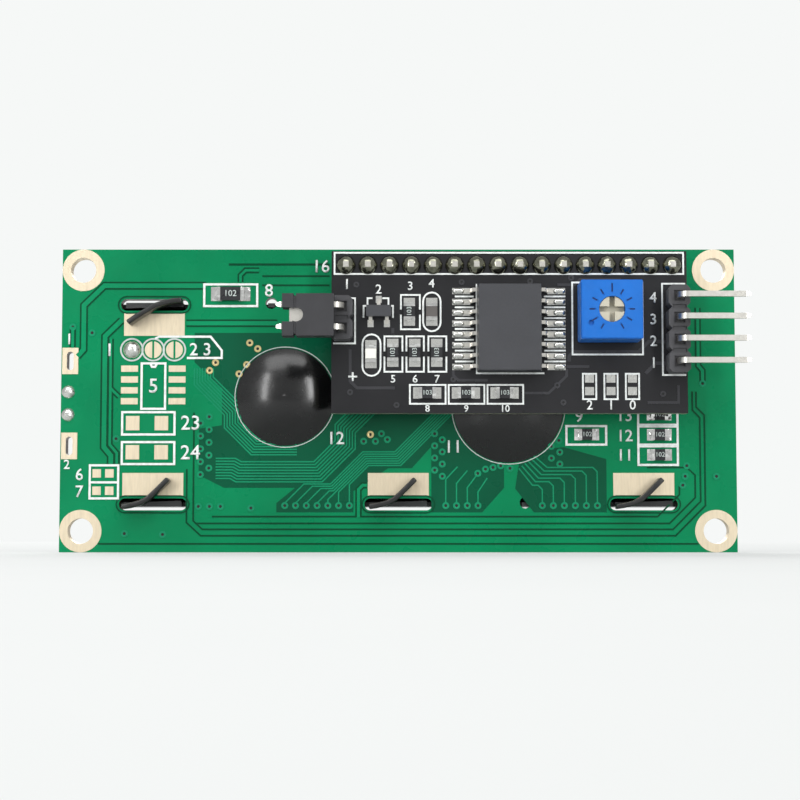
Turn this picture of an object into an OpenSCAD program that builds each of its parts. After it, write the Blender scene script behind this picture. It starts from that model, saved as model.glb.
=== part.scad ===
// Sixteen by two character display with its serial adapter soldered along the top edge.
// Millimetres. X runs to the right as the reader sees the display, Z is up, the display faces -Y.
// The origin is the centre of the four corner holes, on the front face of the green board.

/* [Display board] */
// Board width
board_w = 80; // [76:0.5:90]
// Board height
board_h = 36; // [34:0.5:44]
// Board thickness
board_t = 1.6; // [1.2:0.1:2.4]
// Distance of each corner hole from both edges
hole_margin = 2.5; // [2.4:0.05:3.5]
// Corner hole diameter
hole_d = 3.0; // [2.2:0.1:3.4]
// Plated land round each corner hole
land_d = 5.0; // [4.2:0.1:5.4]
// Thickness of every plated land
land_t = 0.05; // [0.03:0.01:0.08]

/* [Header row] */
// Number of pins in the long row
pin_count = 16; // [8:1:16]
// Pin pitch
pin_pitch = 2.54; // [2.3:0.01:2.54]
// Side of each square pin
pin_s = 0.64; // [0.5:0.01:0.66]
// Distance of the row below the board's top edge
row_edge = 2.5; // [2.2:0.1:3]
// Distance of the first pin from the board's left edge
row_inset = 8.0; // [7.5:0.1:12]
// Height of the plastic spacer between the boards
spacer_h = 2.54; // [2.4:0.05:3.5]
// Width of the plastic spacer across the row
spacer_w = 2.5; // [2.2:0.05:2.54]
// How far the pins pass the front face of the board
tail_front = 1.9; // [1.2:0.1:2.4]
// How far the pins pass the back face of the adapter
tail_back = 1.0; // [0.6:0.1:1.6]

/* [Bezel] */
// Distance of the bezel from the board's side edges
bezel_side = 4.4; // [4:0.1:5]
// How much lower than the board the bezel is, both edges together
bezel_drop = 11.8; // [11:0.1:13]
// Height of the bezel face above the board
bezel_rise = 7.0; // [6.8:0.1:9]
// Thickness of the stamped sheet
sheet_t = 0.5; // [0.3:0.05:0.6]
// Bend radius along the front edges
edge_r = 1.0; // [0.7:0.1:1.3]
// Height of the bezel centre above the board centre
bezel_z = -0.5; // [-0.8:0.1:0.5]
// Width of the frame beside the window
frame_side = 3.35; // [3:0.05:6]
// Width of the frame above and below the window
frame_edge = 5.2; // [4.9:0.1:6]
// Window corner radius
window_r = 0.6; // [0.3:0.1:1.5]
// Width of the pressed groove along each long side
groove_w = 1.7; // [1.2:0.1:2]
// Depth of the pressed groove
groove_d = 0.42; // [0.2:0.02:0.48]
// Distance of the groove from the long edge
groove_inset = 2.1; // [2:0.05:2.3]
// Distance of the groove's ends from the short edges
groove_end = 1.9; // [1.6:0.1:4]
// How far the left end wall is pressed out
end_bulge = 0.35; // [0.2:0.05:0.5]

/* [Bezel tabs] */
// Distance of the outer tabs' middles from the bezel's ends
tab_end = 6.6; // [5:0.1:9]
// Tab width
tab_w = 6.8; // [5:0.1:7.2]
// Gap between the twisted tabs and the adapter
tab_clear = 0.54; // [0.45:0.01:0.8]
// How far the twisted tab swings over its land
tab_swing = 3.0; // [2:0.1:3.2]
// Gap between a tab and each end of its slot
slot_gap = 0.6; // [0.3:0.05:0.8]
// Slot width across the sheet
slot_h = 1.4; // [1.2:0.05:1.6]
// Width of the land beside each slot
tab_land_w = 7.2; // [6:0.1:7.6]
// Height of the land beside each slot
tab_land_h = 2.7; // [2:0.1:2.9]
// Gap between a slot's middle and its land
tab_land_gap = 1.0; // [0.9:0.05:1.2]

/* [Display cell and backlight] */
// Thickness of each glass plate
glass_t = 1.1; // [0.7:0.05:1.15]
// Thickness of each polarizer film
film_t = 0.2; // [0.15:0.01:0.25]
// Thickness of the seal between the plates
seal_t = 0.1; // [0.05:0.01:0.15]
// Width of the seal
seal_w = 1.2; // [0.8:0.1:1.6]
// Distance of both glass plates from the bezel's ends
glass_side = 1.4; // [0.9:0.1:2]
// Distance of the front plate from the bezel's long edges
glass_edge = 0.9; // [0.7:0.05:1.2]
// Ledge of the front plate past the rear plate, for the contacts
ledge = 2.7; // [2.4:0.1:2.9]
// Distance of each film from the rear plate's edges
film_edge = 0.4; // [0.3:0.05:0.8]
// Thickness of the diffuser sheet
diffuser_t = 0.3; // [0.2:0.02:0.35]
// Thickness of the reflector sheet behind the light guide
reflector_t = 0.3; // [0.2:0.02:0.35]
// Width of each conductive rubber strip
strip_w = 1.8; // [1.4:0.1:1.9]
// Height of the light guide's tab at the bezel
tab_base_h = 12; // [10:0.2:13]
// Height of the light guide's tab at its tip
tab_tip_h = 7.4; // [6.6:0.2:8]
// Reach of the light guide's tab past the bezel
tab_out = 3.1; // [2.6:0.1:3.2]
// Pitch of the lamp's two leads
lamp_pitch = 2.7; // [2.4:0.1:3]

/* [Display board parts] */
// Radius of the controller's epoxy dome
dome_a_r = 5.8; // [4.5:0.1:6]
// Radius of the driver's epoxy dome
dome_b_r = 6.55; // [5:0.05:6.6]
// Height of the controller's epoxy dome
dome_a_h = 1.95; // [1.2:0.05:2.1]
// Height of the driver's epoxy dome
dome_b_h = 2.05; // [1.2:0.05:2.2]
// Length of a small chip part
chip_l = 2.0; // [1.6:0.05:2.1]
// Width of a small chip part
chip_w = 1.3; // [0.8:0.05:1.4]
// Height of a small chip part
chip_h = 0.55; // [0.4:0.05:0.8]
// Length of the metal end on a chip part
chip_end = 0.4; // [0.25:0.05:0.5]
// Length of the lamp's large resistor
lamp_res_l = 3.2; // [2.6:0.1:3.4]
// Width of the lamp's large resistor
lamp_res_w = 1.6; // [1.2:0.1:1.8]

/* [Adapter board] */
// Distance of the adapter's ends from the outer pins of the row
adapter_end = 1.7; // [1.3:0.05:2.5]
// Adapter height
adapter_h = 19; // [18.6:0.1:19.4]
// Adapter thickness
adapter_t = 1.6; // [1.0:0.1:1.8]
// Distance of the adapter's top edge from the row
adapter_edge = 1.65; // [1.4:0.05:2]

/* [Expander chip] */
// Body width
expander_w = 7.5; // [7:0.1:7.8]
// Body length
expander_l = 10.3; // [9.9:0.1:10.5]
// Body height
expander_h = 2.3; // [1.8:0.1:2.6]
// Gap under the body
expander_gap = 0.15; // [0.1:0.05:0.3]
// Lead pitch
lead_pitch = 1.27; // [1.2:0.01:1.27]
// Lead width
lead_w = 0.42; // [0.3:0.02:0.5]
// Lead thickness
lead_t = 0.25; // [0.15:0.01:0.3]
// How far each lead reaches past the body
lead_out = 1.45; // [1.2:0.05:1.7]
// Length of the flat foot
lead_foot = 0.85; // [0.5:0.05:0.95]

/* [Trimmer] */
// Housing width
trimmer_w = 7.1; // [6.8:0.1:7.2]
// Housing height across the board
trimmer_l = 6.8; // [6.6:0.1:7]
// Housing height off the board
trimmer_h = 4.9; // [4.2:0.1:5.4]
// Rotor diameter
rotor_d = 2.9; // [2.4:0.1:3.2]
// Radial clearance round the rotor
rotor_clear = 0.05; // [0.03:0.01:0.09]
// Width of the rotor's cross slot
cross_w = 0.62; // [0.4:0.02:0.8]
// Depth of the rotor's cross slot
cross_d = 0.8; // [0.4:0.05:1]

/* [Pin headers] */
// Side of the plastic round each pin
block_w = 2.5; // [2.3:0.05:2.54]
// Height of each plastic block
block_h = 2.54; // [2.3:0.02:2.6]
// Gap between the jumper cap and the plastic below it
elbow_clear = 0.15; // [0.1:0.05:0.5]
// Number of serial bus pins
bus_count = 4; // [3:1:5]
// Reach of the bus pins past the adapter's edge
bus_reach = 6.7; // [4:0.1:7]
// Reach of the jumper pins past the adapter's edge
jumper_reach = 6.2; // [5.8:0.1:6.6]
// Jumper cap length along its pins
cap_l = 5.9; // [5.2:0.1:6]
// Jumper cap thickness
cap_t = 2.4; // [2:0.05:2.5]
// Clearance of the clip round each pin
clip_clear = 0.05; // [0.03:0.01:0.08]

/* [Hidden] */
$fn = 48;
eps = 0.01;
seat_gap = 0.02;

// Board: hole places, and the row of the long header
hole_x = board_w / 2 - hole_margin;
hole_z = board_h / 2 - hole_margin;
row_x0 = row_inset - board_w / 2;
row_l = (pin_count - 1) * pin_pitch;
row_xs = [for (i = [0:pin_count - 1]) row_x0 + i * pin_pitch];
row_z = board_h / 2 - row_edge;
pin_hole_r = pin_s * sqrt(0.5) + 0.05;
function spot(u, v) = [u * board_w, v * board_h];

// Bezel and window
bezel_w = board_w - 2 * bezel_side;
bezel_h = board_h - bezel_drop;
window_w = bezel_w - 2 * frame_side;
window_h = bezel_h - 2 * frame_edge;
tab_pitch = bezel_w / 2 - tab_end;
tab_rise = spacer_h - tab_clear;
slot_w = tab_w + 2 * slot_gap;
wall_z = bezel_h / 2 - sheet_t / 2;
function slot_z(s) = bezel_z + s * wall_z;

// Layers from the board's front face out to the bezel face
board_back = board_t;
face_in = -bezel_rise + sheet_t;
front_film_y = face_in;
front_glass_y = front_film_y + film_t;
seal_y = front_glass_y + glass_t;
rear_glass_y = seal_y + seal_t;
rear_film_y = rear_glass_y + glass_t;
diffuser_y = rear_film_y + film_t;
guide_y = diffuser_y + diffuser_t;
guide_t = -reflector_t - guide_y;
glass_w = bezel_w - 2 * glass_side;
front_glass_h = bezel_h - 2 * glass_edge;
rear_glass_h = front_glass_h - 2 * ledge;
film_w = glass_w - 2;
film_h = rear_glass_h - 2 * film_edge;
guide_w = glass_w + 0.6;
guide_h = rear_glass_h;
strip_gap = 0.35;
strip_z = guide_h / 2 + strip_gap + strip_w / 2;
tab_reach = bezel_w / 2 + tab_out;
tab_film_t = 0.08;

// Lamp in the light guide's tab, and its two leads
lamp_w = 3.4;
lamp_d = 1.5;
lamp_clear = 0.1;
lamp_x = tab_reach - 0.6 - lamp_d;
lamp_lead_x = tab_reach + 0.45;
lamp_lead_z = bezel_z + 0.1;
lead_s = 0.4;
lamp_hole_r = 0.4;
edge_slots = [for (s = [1, -1]) [board_w / 2 - 1.05, lamp_lead_z + s * 5.05]];
edge_slot_w = 0.8;
edge_slot_h = 2.2;

// Layers from the board's back face out to the adapter's back face
adapter_front = board_back + spacer_h;
adapter_back = adapter_front + adapter_t;
chip_y = adapter_back + land_t;
board_chip_y = board_back + land_t;
elbow_y = adapter_back + block_h + elbow_clear + cap_t / 2;

// Adapter edges; its parts are laid out by shares of its width and height
adapter_w = row_l + 2 * adapter_end;
adapter_x = row_x0 + row_l / 2;
adapter_z = row_z + adapter_edge - adapter_h / 2;
adapter_left = adapter_x - adapter_w / 2;
adapter_right = adapter_x + adapter_w / 2;
function lay(u, v) = [adapter_x + u * adapter_w, adapter_z + v * adapter_h];
expander_at = lay(0.0015, 0.018);
trimmer_at = lay(-0.276, 0.11);
transistor_at = lay(0.367, 0.126);
lamp_at = lay(0.389, -0.137);
capacitor_at = lay(0.218, 0.124);
bus_at = [adapter_left + block_w / 2, lay(0, 0.008)[1]];
jumper_at = [adapter_right - block_w / 2, lay(0, 0.076)[1]];

// Adapter resistors: place and quarter turns, upright ones first
adapter_resistors = [
  [each lay(0.281, 0.124), 1],
  for (i = [0:2]) [each lay(0.3275 - i * 0.0617, -0.129), 1],
  for (i = [0:2]) [each lay(0.231 - i * 0.1084, -0.376), 0]
];
// Three address bridges, each a pair of lands
bridges = [for (i = [0:2]) lay(-0.224 - i * 0.0602, -0.326)];
bridge_w = 1.05;
bridge_h = 0.95;
bridge_pitch = 1.46;

// Display board resistors: place, length, width
board_resistors = [
  [each spot(0.2495, 0.3515), lamp_res_l, lamp_res_w],
  [each spot(-0.2788, -0.114), chip_l, chip_w],
  for (i = [0:2]) [each spot(-0.3862, -0.0486 - i * 0.0661), chip_l, chip_w]
];
dome_a_at = spot(0.1675, 0.0095);
dome_b_at = spot(-0.163, -0.025);

// Locating holes, in line with the bezel's long walls
peg_hole_d = 1.35;
peg_w = 0.8;
peg_off = 0.2;
peg_at = [[spot(0.189, 0)[0], slot_z(1) + peg_off], [spot(-0.1875, 0)[0], slot_z(-1) + peg_off]];

// Round jumpers, and the empty footprints beside them
round_jumper_r = 1;
round_jumper_pitch = 2.525;
round_jumper_cut = 0.24;
round_jumpers = [for (i = [1, 0, -1]) spot(0.364, 0.166) + [i * round_jumper_pitch, 0]];
foot8_at = spot(0.3634, 0.0498);
foot8_span = 5.65;
foot8_pitch = 1.29;
foot8_pad = [2, 0.75];
foot_cap_at = [spot(0.372, -0.0764), spot(0.372, -0.1722)];
foot_cap_span = 3.4;
foot_cap_pad = [1.6, 1.7];
foot_small_at = [spot(0.4362, -0.2417), spot(0.4362, -0.2986)];
foot_small_span = 1.5;
foot_small_pad = [1, 1];
edge_land = [1.9, 3.15];

// Trimmer inside
rotor_bore = rotor_d + 2 * rotor_clear;
rotor_sink = 0.12;
trimmer_top = adapter_back + trimmer_h;
mark_d = 0.1;
mark_w = 0.2;
dot_r = 0.33;
trimmer_foot = 0.7;
trimmer_foot_w = 0.9;
trimmer_chamfer = 0.1;
trimmer_roof = 1.4;
element_t = 0.6;
element_y = adapter_back + trimmer_foot + 0.2;
wiper_y = element_y + element_t + 0.05;
wiper_t = 0.25;
cavity_d = trimmer_l - 1.4;
wiper_d = cavity_d - 0.8;
element_w = cavity_d + 0.6;
element_h = cavity_d - 0.4;
cavity_top = trimmer_top - trimmer_roof;
leg_pitch = 2.54;
trimmer_legs_at = [[-leg_pitch, -1.6], [0, 1.7], [leg_pitch, -1.6]];
leg_r = 0.25;

// Bent pins, and the joints under the adapter
bend = 0.45;
block_cut = 0.42;
joint_h = 0.35;
joint_r = 0.85;
tip_l = 0.55;
tip_keep = 0.55;
root_w = 1.25;
root_d = 0.45;
web_w = 1.6;
web_h = 0.5;
web_d = 0.2;

// Jumper cap inside
cap_in = jumper_at[0] + bend + pin_s / 2 + 0.03;
cap_h = pin_pitch + 2.3;
cap_fork = 1.6;
clip_s = pin_s + 2 * clip_clear;
clip_t = 0.15;

// Transistor
transistor_w = 2.9;
transistor_h = 1.0;
transistor_l = 1.3;
transistor_lead = 0.42;
transistor_feet = [[0, 1.35], [-0.95, -1.35], [0.95, -1.35]];

// Solder
bell_base = 1.02;
bell_tip = 0.42;
bell_h = tail_front - 0.15;
bell_draw = row_edge - bell_base - 0.18;
crown_r = 1.12;
crown_h = tail_back - 0.15;
bead_r = 0.34;
bead_h = 0.26;
land_out = lead_out - lead_foot + 0.15;
land_reach = expander_w / 2 + lead_out + 1.4;

// A flat outline in X and Z, thickened from y0 towards the back by t
module slab(y0, t) {
  translate([0, y0 + t, 0]) rotate([90, 0, 0]) linear_extrude(t) children();
}

// Something built along local Z, pointing out of a back face or a front face
module out_back(x, y, z) {
  translate([x, y, z]) rotate([-90, 0, 0]) children();
}
module out_front(x, y, z) {
  translate([x, y, z]) rotate([90, 0, 0]) children();
}

module rect(w, h) {
  square([w, h], center = true);
}

module rounded_rect(w, h, r) {
  translate([-w / 2 + r, -h / 2]) square([w - 2 * r, h]);
  translate([-w / 2, -h / 2 + r]) square([w, h - 2 * r]);
  for (x = [-1, 1], z = [-1, 1]) translate([x * (w / 2 - r), z * (h / 2 - r)]) circle(r = r);
}

// Slot with round ends, along X or along Z
module stadium(w, h) {
  r = min(w, h) / 2;
  rounded_rect(w, h, r - eps);
}

module brick(x, y, z, sx, sy, sz) {
  translate([x - sx / 2, y, z - sz / 2]) cube([sx, sy, sz]);
}

// Solder fillet: a concave bell of base radius r and height h, closing to the pin
function bell_r(r, tip, s) = tip + (r - tip) * pow(1 - s, 1.7);
module bell_half(r, h, tip) {
  polygon([[0, 0], for (i = [0:6]) [bell_r(r, tip, i / 6), h * i / 6], [0, h]]);
}
module bell(r, h, tip) {
  rotate_extrude() bell_half(r, h, tip);
}
// The same fillet drawn out along local Y by d
module long_bell(r, h, tip, d) {
  for (y = [0, d]) translate([0, y, 0]) bell(r, h, tip);
  translate([0, d, 0]) rotate([90, 0, 0]) linear_extrude(d) {
    bell_half(r, h, tip);
    mirror([1, 0]) bell_half(r, h, tip);
  }
}
// Round solder dome with a flattened crown
module solder_dome(r, h) {
  intersection() {
    translate([0, 0, h - (r * r + h * h) / (2 * h)]) sphere(r = (r * r + h * h) / (2 * h));
    cylinder(r = r + 1, h = h + 1);
  }
}

// ---- Display board ----

// Middles of the six bezel tab slots: X, side (1 top, -1 bottom)
tab_places = [for (x = [-1, 0, 1], s = [-1, 1]) [x * tab_pitch, s]];

module board_outline() {
  rect(board_w, board_h);
}

module corner_places() {
  for (x = [-1, 1], z = [-1, 1]) translate([x * hole_x, z * hole_z]) children();
}

module display_board() {
  color("seagreen") difference() {
    slab(0, board_t) board_outline();
    slab(-1, board_t + 2) {
      corner_places() circle(d = hole_d + 2 * (land_t + seat_gap));
      for (x = row_xs) translate([x, row_z]) circle(r = pin_hole_r);
      for (p = tab_places) translate([p[0], slot_z(p[1])]) stadium(slot_w, slot_h);
      for (p = peg_at) translate(p) circle(d = peg_hole_d);
      for (p = edge_slots) translate(p) stadium(edge_slot_w, edge_slot_h);
      for (s = [-0.5, 0.5]) translate([lamp_lead_x, lamp_lead_z + s * lamp_pitch])
        circle(r = lamp_hole_r);
    }
  }
}

// Bare plated copper on both faces: corner rings, tab lands, edge lands and empty footprints
module front_lands() {
  intersection() {
    corner_places() circle(d = land_d);
    board_outline();
  }
  for (p = edge_slots) translate(p) rect(edge_land[0], edge_land[1]);
}

// Two pads side by side
module pad_pair(at, span, pad) {
  for (s = [-0.5, 0.5]) translate([at[0] + s * span, at[1]]) rect(pad[0], pad[1]);
}

module back_lands() {
  front_lands();
  for (p = tab_places)
    translate([p[0], slot_z(p[1]) - p[1] * (tab_land_gap + tab_land_h / 2)]) rect(tab_land_w, tab_land_h);
  // empty eight-lead chip
  for (i = [-1.5:1.5]) pad_pair(foot8_at + [0, i * foot8_pitch], foot8_span, foot8_pad);
  // two empty capacitors and two small jumpers
  for (p = foot_cap_at) pad_pair(p, foot_cap_span, foot_cap_pad);
  for (p = foot_small_at) pad_pair(p, foot_small_span, foot_small_pad);
  // round jumpers, split down the middle
  for (p = round_jumpers) translate(p) difference() {
    circle(r = round_jumper_r);
    rect(round_jumper_cut, 3 * round_jumper_r);
  }
}

module land_holes() {
  corner_places() circle(d = hole_d);
  for (p = edge_slots) translate(p) stadium(edge_slot_w, edge_slot_h);
}

// The corner lands are eyelets: a ring on each face, joined by a plated barrel through the hole
module board_lands() {
  color("wheat") {
    slab(-land_t, land_t) difference() {
      front_lands();
      land_holes();
    }
    slab(board_back, land_t) difference() {
      back_lands();
      land_holes();
    }
    slab(-eps, board_t + 2 * eps) corner_places() difference() {
      circle(d = hole_d + 2 * land_t);
      circle(d = hole_d);
    }
  }
}

// ---- Bezel ----

// Sheet metal cup, open at the back; d insets every face
module bezel_cup(d, r) {
  w = bezel_w / 2 - d;
  h = bezel_h / 2 - d;
  // one corner post: straight up to the bend, then a quarter round
  hull() for (x = [-1, 1], z = [-1, 1]) out_front(x * (w - r), 0, z * (h - r))
    rotate_extrude($fn = 24)
      polygon([[0, 0], [r, 0], for (i = [0:6]) [r * cos(15 * i), bezel_rise - d - r + r * sin(15 * i)]]);
}

// Groove section: a vee with a rounded floor, w wide and d deep, run along X
module groove(w, d, l) {
  rotate([0, 90, 0]) translate([0, 0, -l / 2]) linear_extrude(l)
    polygon([
      [-w / 2, -eps], [w / 2, -eps], [w / 2 - 0.08, 0.04],
      [w * 0.13, d], [-w * 0.13, d], [-w / 2 + 0.08, 0.04]
    ]);
}

module groove_sides() {
  for (s = [-1, 1]) translate([0, 0, s * (bezel_h / 2 - groove_inset)]) children();
}

// One tab, from the wall through its slot, then twisted over its land.
// Stations run along the tab; the outer edge swings further at each one.
module twisted_tab() {
  n = 8;
  function s(i) = i / n;
  function root(i, side) = [s(i) * tab_w, 0, side * sheet_t / 2];
  function crest(i, side) = [
    s(i) * tab_w * (1 - 0.12 * s(i) * s(i)) - side * sheet_t * 0.35 * s(i),
    tab_rise,
    tab_swing * s(i) * s(i) + side * sheet_t / 2
  ];
  points = [for (i = [0:n]) each [root(i, -1), root(i, 1), crest(i, 1), crest(i, -1)]];
  polyhedron(points, [
    [3, 2, 1, 0],
    for (i = [0:n - 1], k = [0:3]) let (a = 4 * i, b = a + 4, m = (k + 1) % 4)
      each [[a + k, a + m, b + m], [a + k, b + m, b + k]],
    [0, 1, 2, 3] + [for (j = [0:3]) 4 * n]
  ]);
}

module bezel_tab(x, side) {
  translate([x, 0, slot_z(side)]) {
    translate([-tab_w / 2, -sheet_t, -sheet_t / 2]) cube([tab_w, board_t + sheet_t, sheet_t]);
    rotate([0, side > 0 ? 0 : 180, 0]) mirror([0, 0, 1]) translate([-tab_w / 2, board_t - eps, 0])
      twisted_tab();
  }
}

module bezel() {
  color("dimgray") {
    difference() {
      union() {
        translate([0, 0, bezel_z]) bezel_cup(0, edge_r);
        // pressed-out middle of the left end wall
        translate([-bezel_w / 2 - end_bulge, -bezel_rise + edge_r + 0.6, bezel_z - 3.9])
          cube([end_bulge + sheet_t / 2, bezel_rise - edge_r - 0.6, 10.1]);
      }
      difference() {
        translate([0, 0, bezel_z]) bezel_cup(sheet_t, edge_r - sheet_t);
        // ribs left inside the two grooves press on the cell
        translate([0, 0, bezel_z]) groove_sides() translate([0, face_in - eps, 0])
          groove(groove_w * 0.75, film_t + eps, bezel_w - 2 * groove_end - 1);
      }
      translate([0, 0, bezel_z]) groove_sides() translate([0, -bezel_rise, 0])
        groove(groove_w, groove_d, bezel_w - 2 * groove_end);
      translate([0, 0, bezel_z]) slab(-bezel_rise - 1, sheet_t + 1.4)
        rounded_rect(window_w, window_h, window_r);
      // mouth for the light guide in the right end wall
      translate([bezel_w / 2, 0, bezel_z])
        brick(0, guide_y - 0.1, 0, 3, -guide_y + 1, tab_base_h + 0.3);
    }
    for (p = tab_places) bezel_tab(p[0], p[1]);
    // locating tongues in the two round holes
    for (p = peg_at)
      brick(p[0], -sheet_t, p[1] - peg_off, peg_w, board_t * 0.8 + sheet_t, sheet_t);
  }
}

// ---- Display cell ----

module cell_layer(y, t, w, h) {
  translate([0, 0, bezel_z]) slab(y, t) rect(w, h);
}

module front_polarizer() {
  color("midnightblue") cell_layer(front_film_y, film_t, film_w, film_h);
}
module cell_front_glass() {
  color("lightsteelblue") cell_layer(front_glass_y, glass_t, glass_w, front_glass_h);
}
module cell_seal() {
  color("gainsboro") translate([0, 0, bezel_z]) slab(seal_y, seal_t) difference() {
    rect(glass_w - 0.6, rear_glass_h - 0.6);
    rect(glass_w - 0.6 - 2 * seal_w, rear_glass_h - 0.6 - 2 * seal_w);
  }
}
module cell_rear_glass() {
  color("lightsteelblue") cell_layer(rear_glass_y, glass_t, glass_w, rear_glass_h);
}
module rear_polarizer() {
  color("royalblue") cell_layer(rear_film_y, film_t, film_w, film_h);
}
module elastomer_strip(side) {
  color("lightpink") translate([0, 0, bezel_z + side * strip_z])
    brick(0, seal_y, 0, film_w, -seal_y, strip_w);
}
module elastomer_strip_upper() {
  elastomer_strip(1);
}
module elastomer_strip_lower() {
  elastomer_strip(-1);
}

// ---- Backlight ----

module guide_outline() {
  rect(guide_w, guide_h);
  polygon([
    [guide_w / 2 - eps, -tab_base_h / 2], [bezel_w / 2, -tab_base_h / 2],
    [tab_reach, -tab_tip_h / 2], [tab_reach, tab_tip_h / 2],
    [bezel_w / 2, tab_base_h / 2], [guide_w / 2 - eps, tab_base_h / 2]
  ]);
}

module diffuser_sheet() {
  color("white") cell_layer(diffuser_y, diffuser_t, guide_w, guide_h);
}
module light_guide() {
  color("ghostwhite") difference() {
    translate([0, 0, bezel_z]) slab(guide_y, guide_t) guide_outline();
    // pocket for the lamp, open at the tip
    brick(lamp_x + lamp_d / 2 + 2, guide_y + 0.4, lamp_lead_z,
      lamp_d + 4 + 2 * lamp_clear, guide_t, lamp_w + 2 * lamp_clear);
  }
}
// White film folded over the light guide's tab
module tab_film() {
  color("gainsboro") translate([0, 0, bezel_z]) slab(guide_y - tab_film_t, tab_film_t) difference() {
    guide_outline();
    rect(bezel_w - 2 * sheet_t - 0.2, board_h);
  }
}
module reflector_sheet() {
  color("white") cell_layer(-reflector_t, reflector_t, guide_w, guide_h);
}
module backlight_lamp() {
  color("ivory") brick(lamp_x + lamp_d / 2 + lamp_clear, guide_y + 0.5, lamp_lead_z,
    lamp_d, guide_t - 0.2, lamp_w);
}
// Two leads bent down through the board, with a bead of solder on each side
module lamp_leads() {
  color("silver") for (s = [-0.5, 0.5]) {
    z = lamp_lead_z + s * lamp_pitch;
    x0 = lamp_x + lamp_d + lamp_clear;
    translate([x0, -1.1, z - lead_s / 2]) cube([lamp_lead_x - x0, lead_s, lead_s]);
    brick(lamp_lead_x, -1.1, z, lead_s, board_t + 1.5, lead_s);
    out_back(lamp_lead_x, board_back, z) difference() {
      solder_dome(2 * lead_s, lead_s + 0.1);
      cube([lead_s, lead_s, 3], center = true);
    }
  }
}

// ---- Parts on the back of the display board ----

module epoxy_dome(at, r, h) {
  color("black") out_back(at[0], board_back, at[1]) solder_dome(r, h);
}
module controller_dome() {
  epoxy_dome(dome_a_at, dome_a_r, dome_a_h);
}
module driver_dome() {
  epoxy_dome(dome_b_at, dome_b_r, dome_b_h);
}
module solder_bridge() {
  color("silver") out_back(round_jumpers[0][0], board_chip_y, round_jumpers[0][1])
    solder_dome(round_jumper_r - seat_gap, 0.55 * round_jumper_r);
}

// Chip part of length l and width w, standing on y, turned by quarter turns
module chip_body(at, y, l, w, turn) {
  translate([at[0], y, at[1]]) rotate([0, 90 * turn, 0])
    brick(0, 0.03, 0, l - 2 * chip_end, chip_h - 0.06, w);
}
module chip_ends(at, y, l, w, turn) {
  translate([at[0], y, at[1]]) rotate([0, 90 * turn, 0])
    for (s = [-1, 1]) brick(s * (l - chip_end) / 2, 0, 0, chip_end, chip_h, w);
}

module board_resistor(i) {
  r = board_resistors[i - 1];
  color("dimgray") chip_body([r[0], r[1]], board_chip_y, r[2], r[3], 0);
}
module board_resistor_ends() {
  color("silver") for (r = board_resistors) {
    chip_ends([r[0], r[1]], board_chip_y, r[2], r[3], 0);
    // land under each end
    for (s = [-1, 1]) brick(r[0] + s * r[2] * 0.52, board_back, r[1], r[2] * 0.42, land_t, r[3] * 1.05);
  }
}

// ---- Long header ----

module spacer_cell() {
  c = 0.45;
  w = pin_pitch / 2;
  h = spacer_w / 2;
  polygon([[-w, -h + c], [-w + c, -h], [w - c, -h], [w, -h + c],
    [w, h - c], [w - c, h], [-w + c, h], [-w, h - c]]);
}
module header_spacer() {
  color("black") slab(board_back, spacer_h) difference() {
    for (x = row_xs) translate([x, row_z]) spacer_cell();
    for (x = row_xs) translate([x, row_z]) rect(pin_s, pin_s);
  }
}
module header_pins() {
  color("goldenrod") for (x = row_xs)
    brick(x, -tail_front, row_z, pin_s, adapter_back + tail_back + tail_front, pin_s);
}
module header_solder_front() {
  color("silver") for (x = row_xs) out_front(x, 0, row_z) difference() {
    long_bell(bell_base, bell_h, bell_tip, bell_draw);
    cube([pin_s, pin_s, 9], center = true);
  }
}
module header_solder_back() {
  color("silver") for (x = row_xs) out_back(x, adapter_back, row_z) difference() {
    solder_dome(crown_r, crown_h);
    cube([pin_s, pin_s, 9], center = true);
  }
}

// ---- Adapter board ----

module adapter_board() {
  color("darkslategray") difference() {
    slab(adapter_front, adapter_t) translate([adapter_x, adapter_z]) rect(adapter_w, adapter_h);
    slab(adapter_front - 1, adapter_t + 2) {
      for (x = row_xs) translate([x, row_z]) circle(r = pin_hole_r);
      for (z = bus_zs()) translate([bus_at[0], z]) circle(r = pin_hole_r);
      for (z = jumper_zs()) translate([jumper_at[0], z]) circle(r = pin_hole_r);
      for (p = trimmer_legs_at) translate(trimmer_at + p) circle(r = leg_r + 0.1);
    }
  }
}

function expander_zs() = [for (i = [0:7]) expander_at[1] + (i - 3.5) * lead_pitch];

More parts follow.
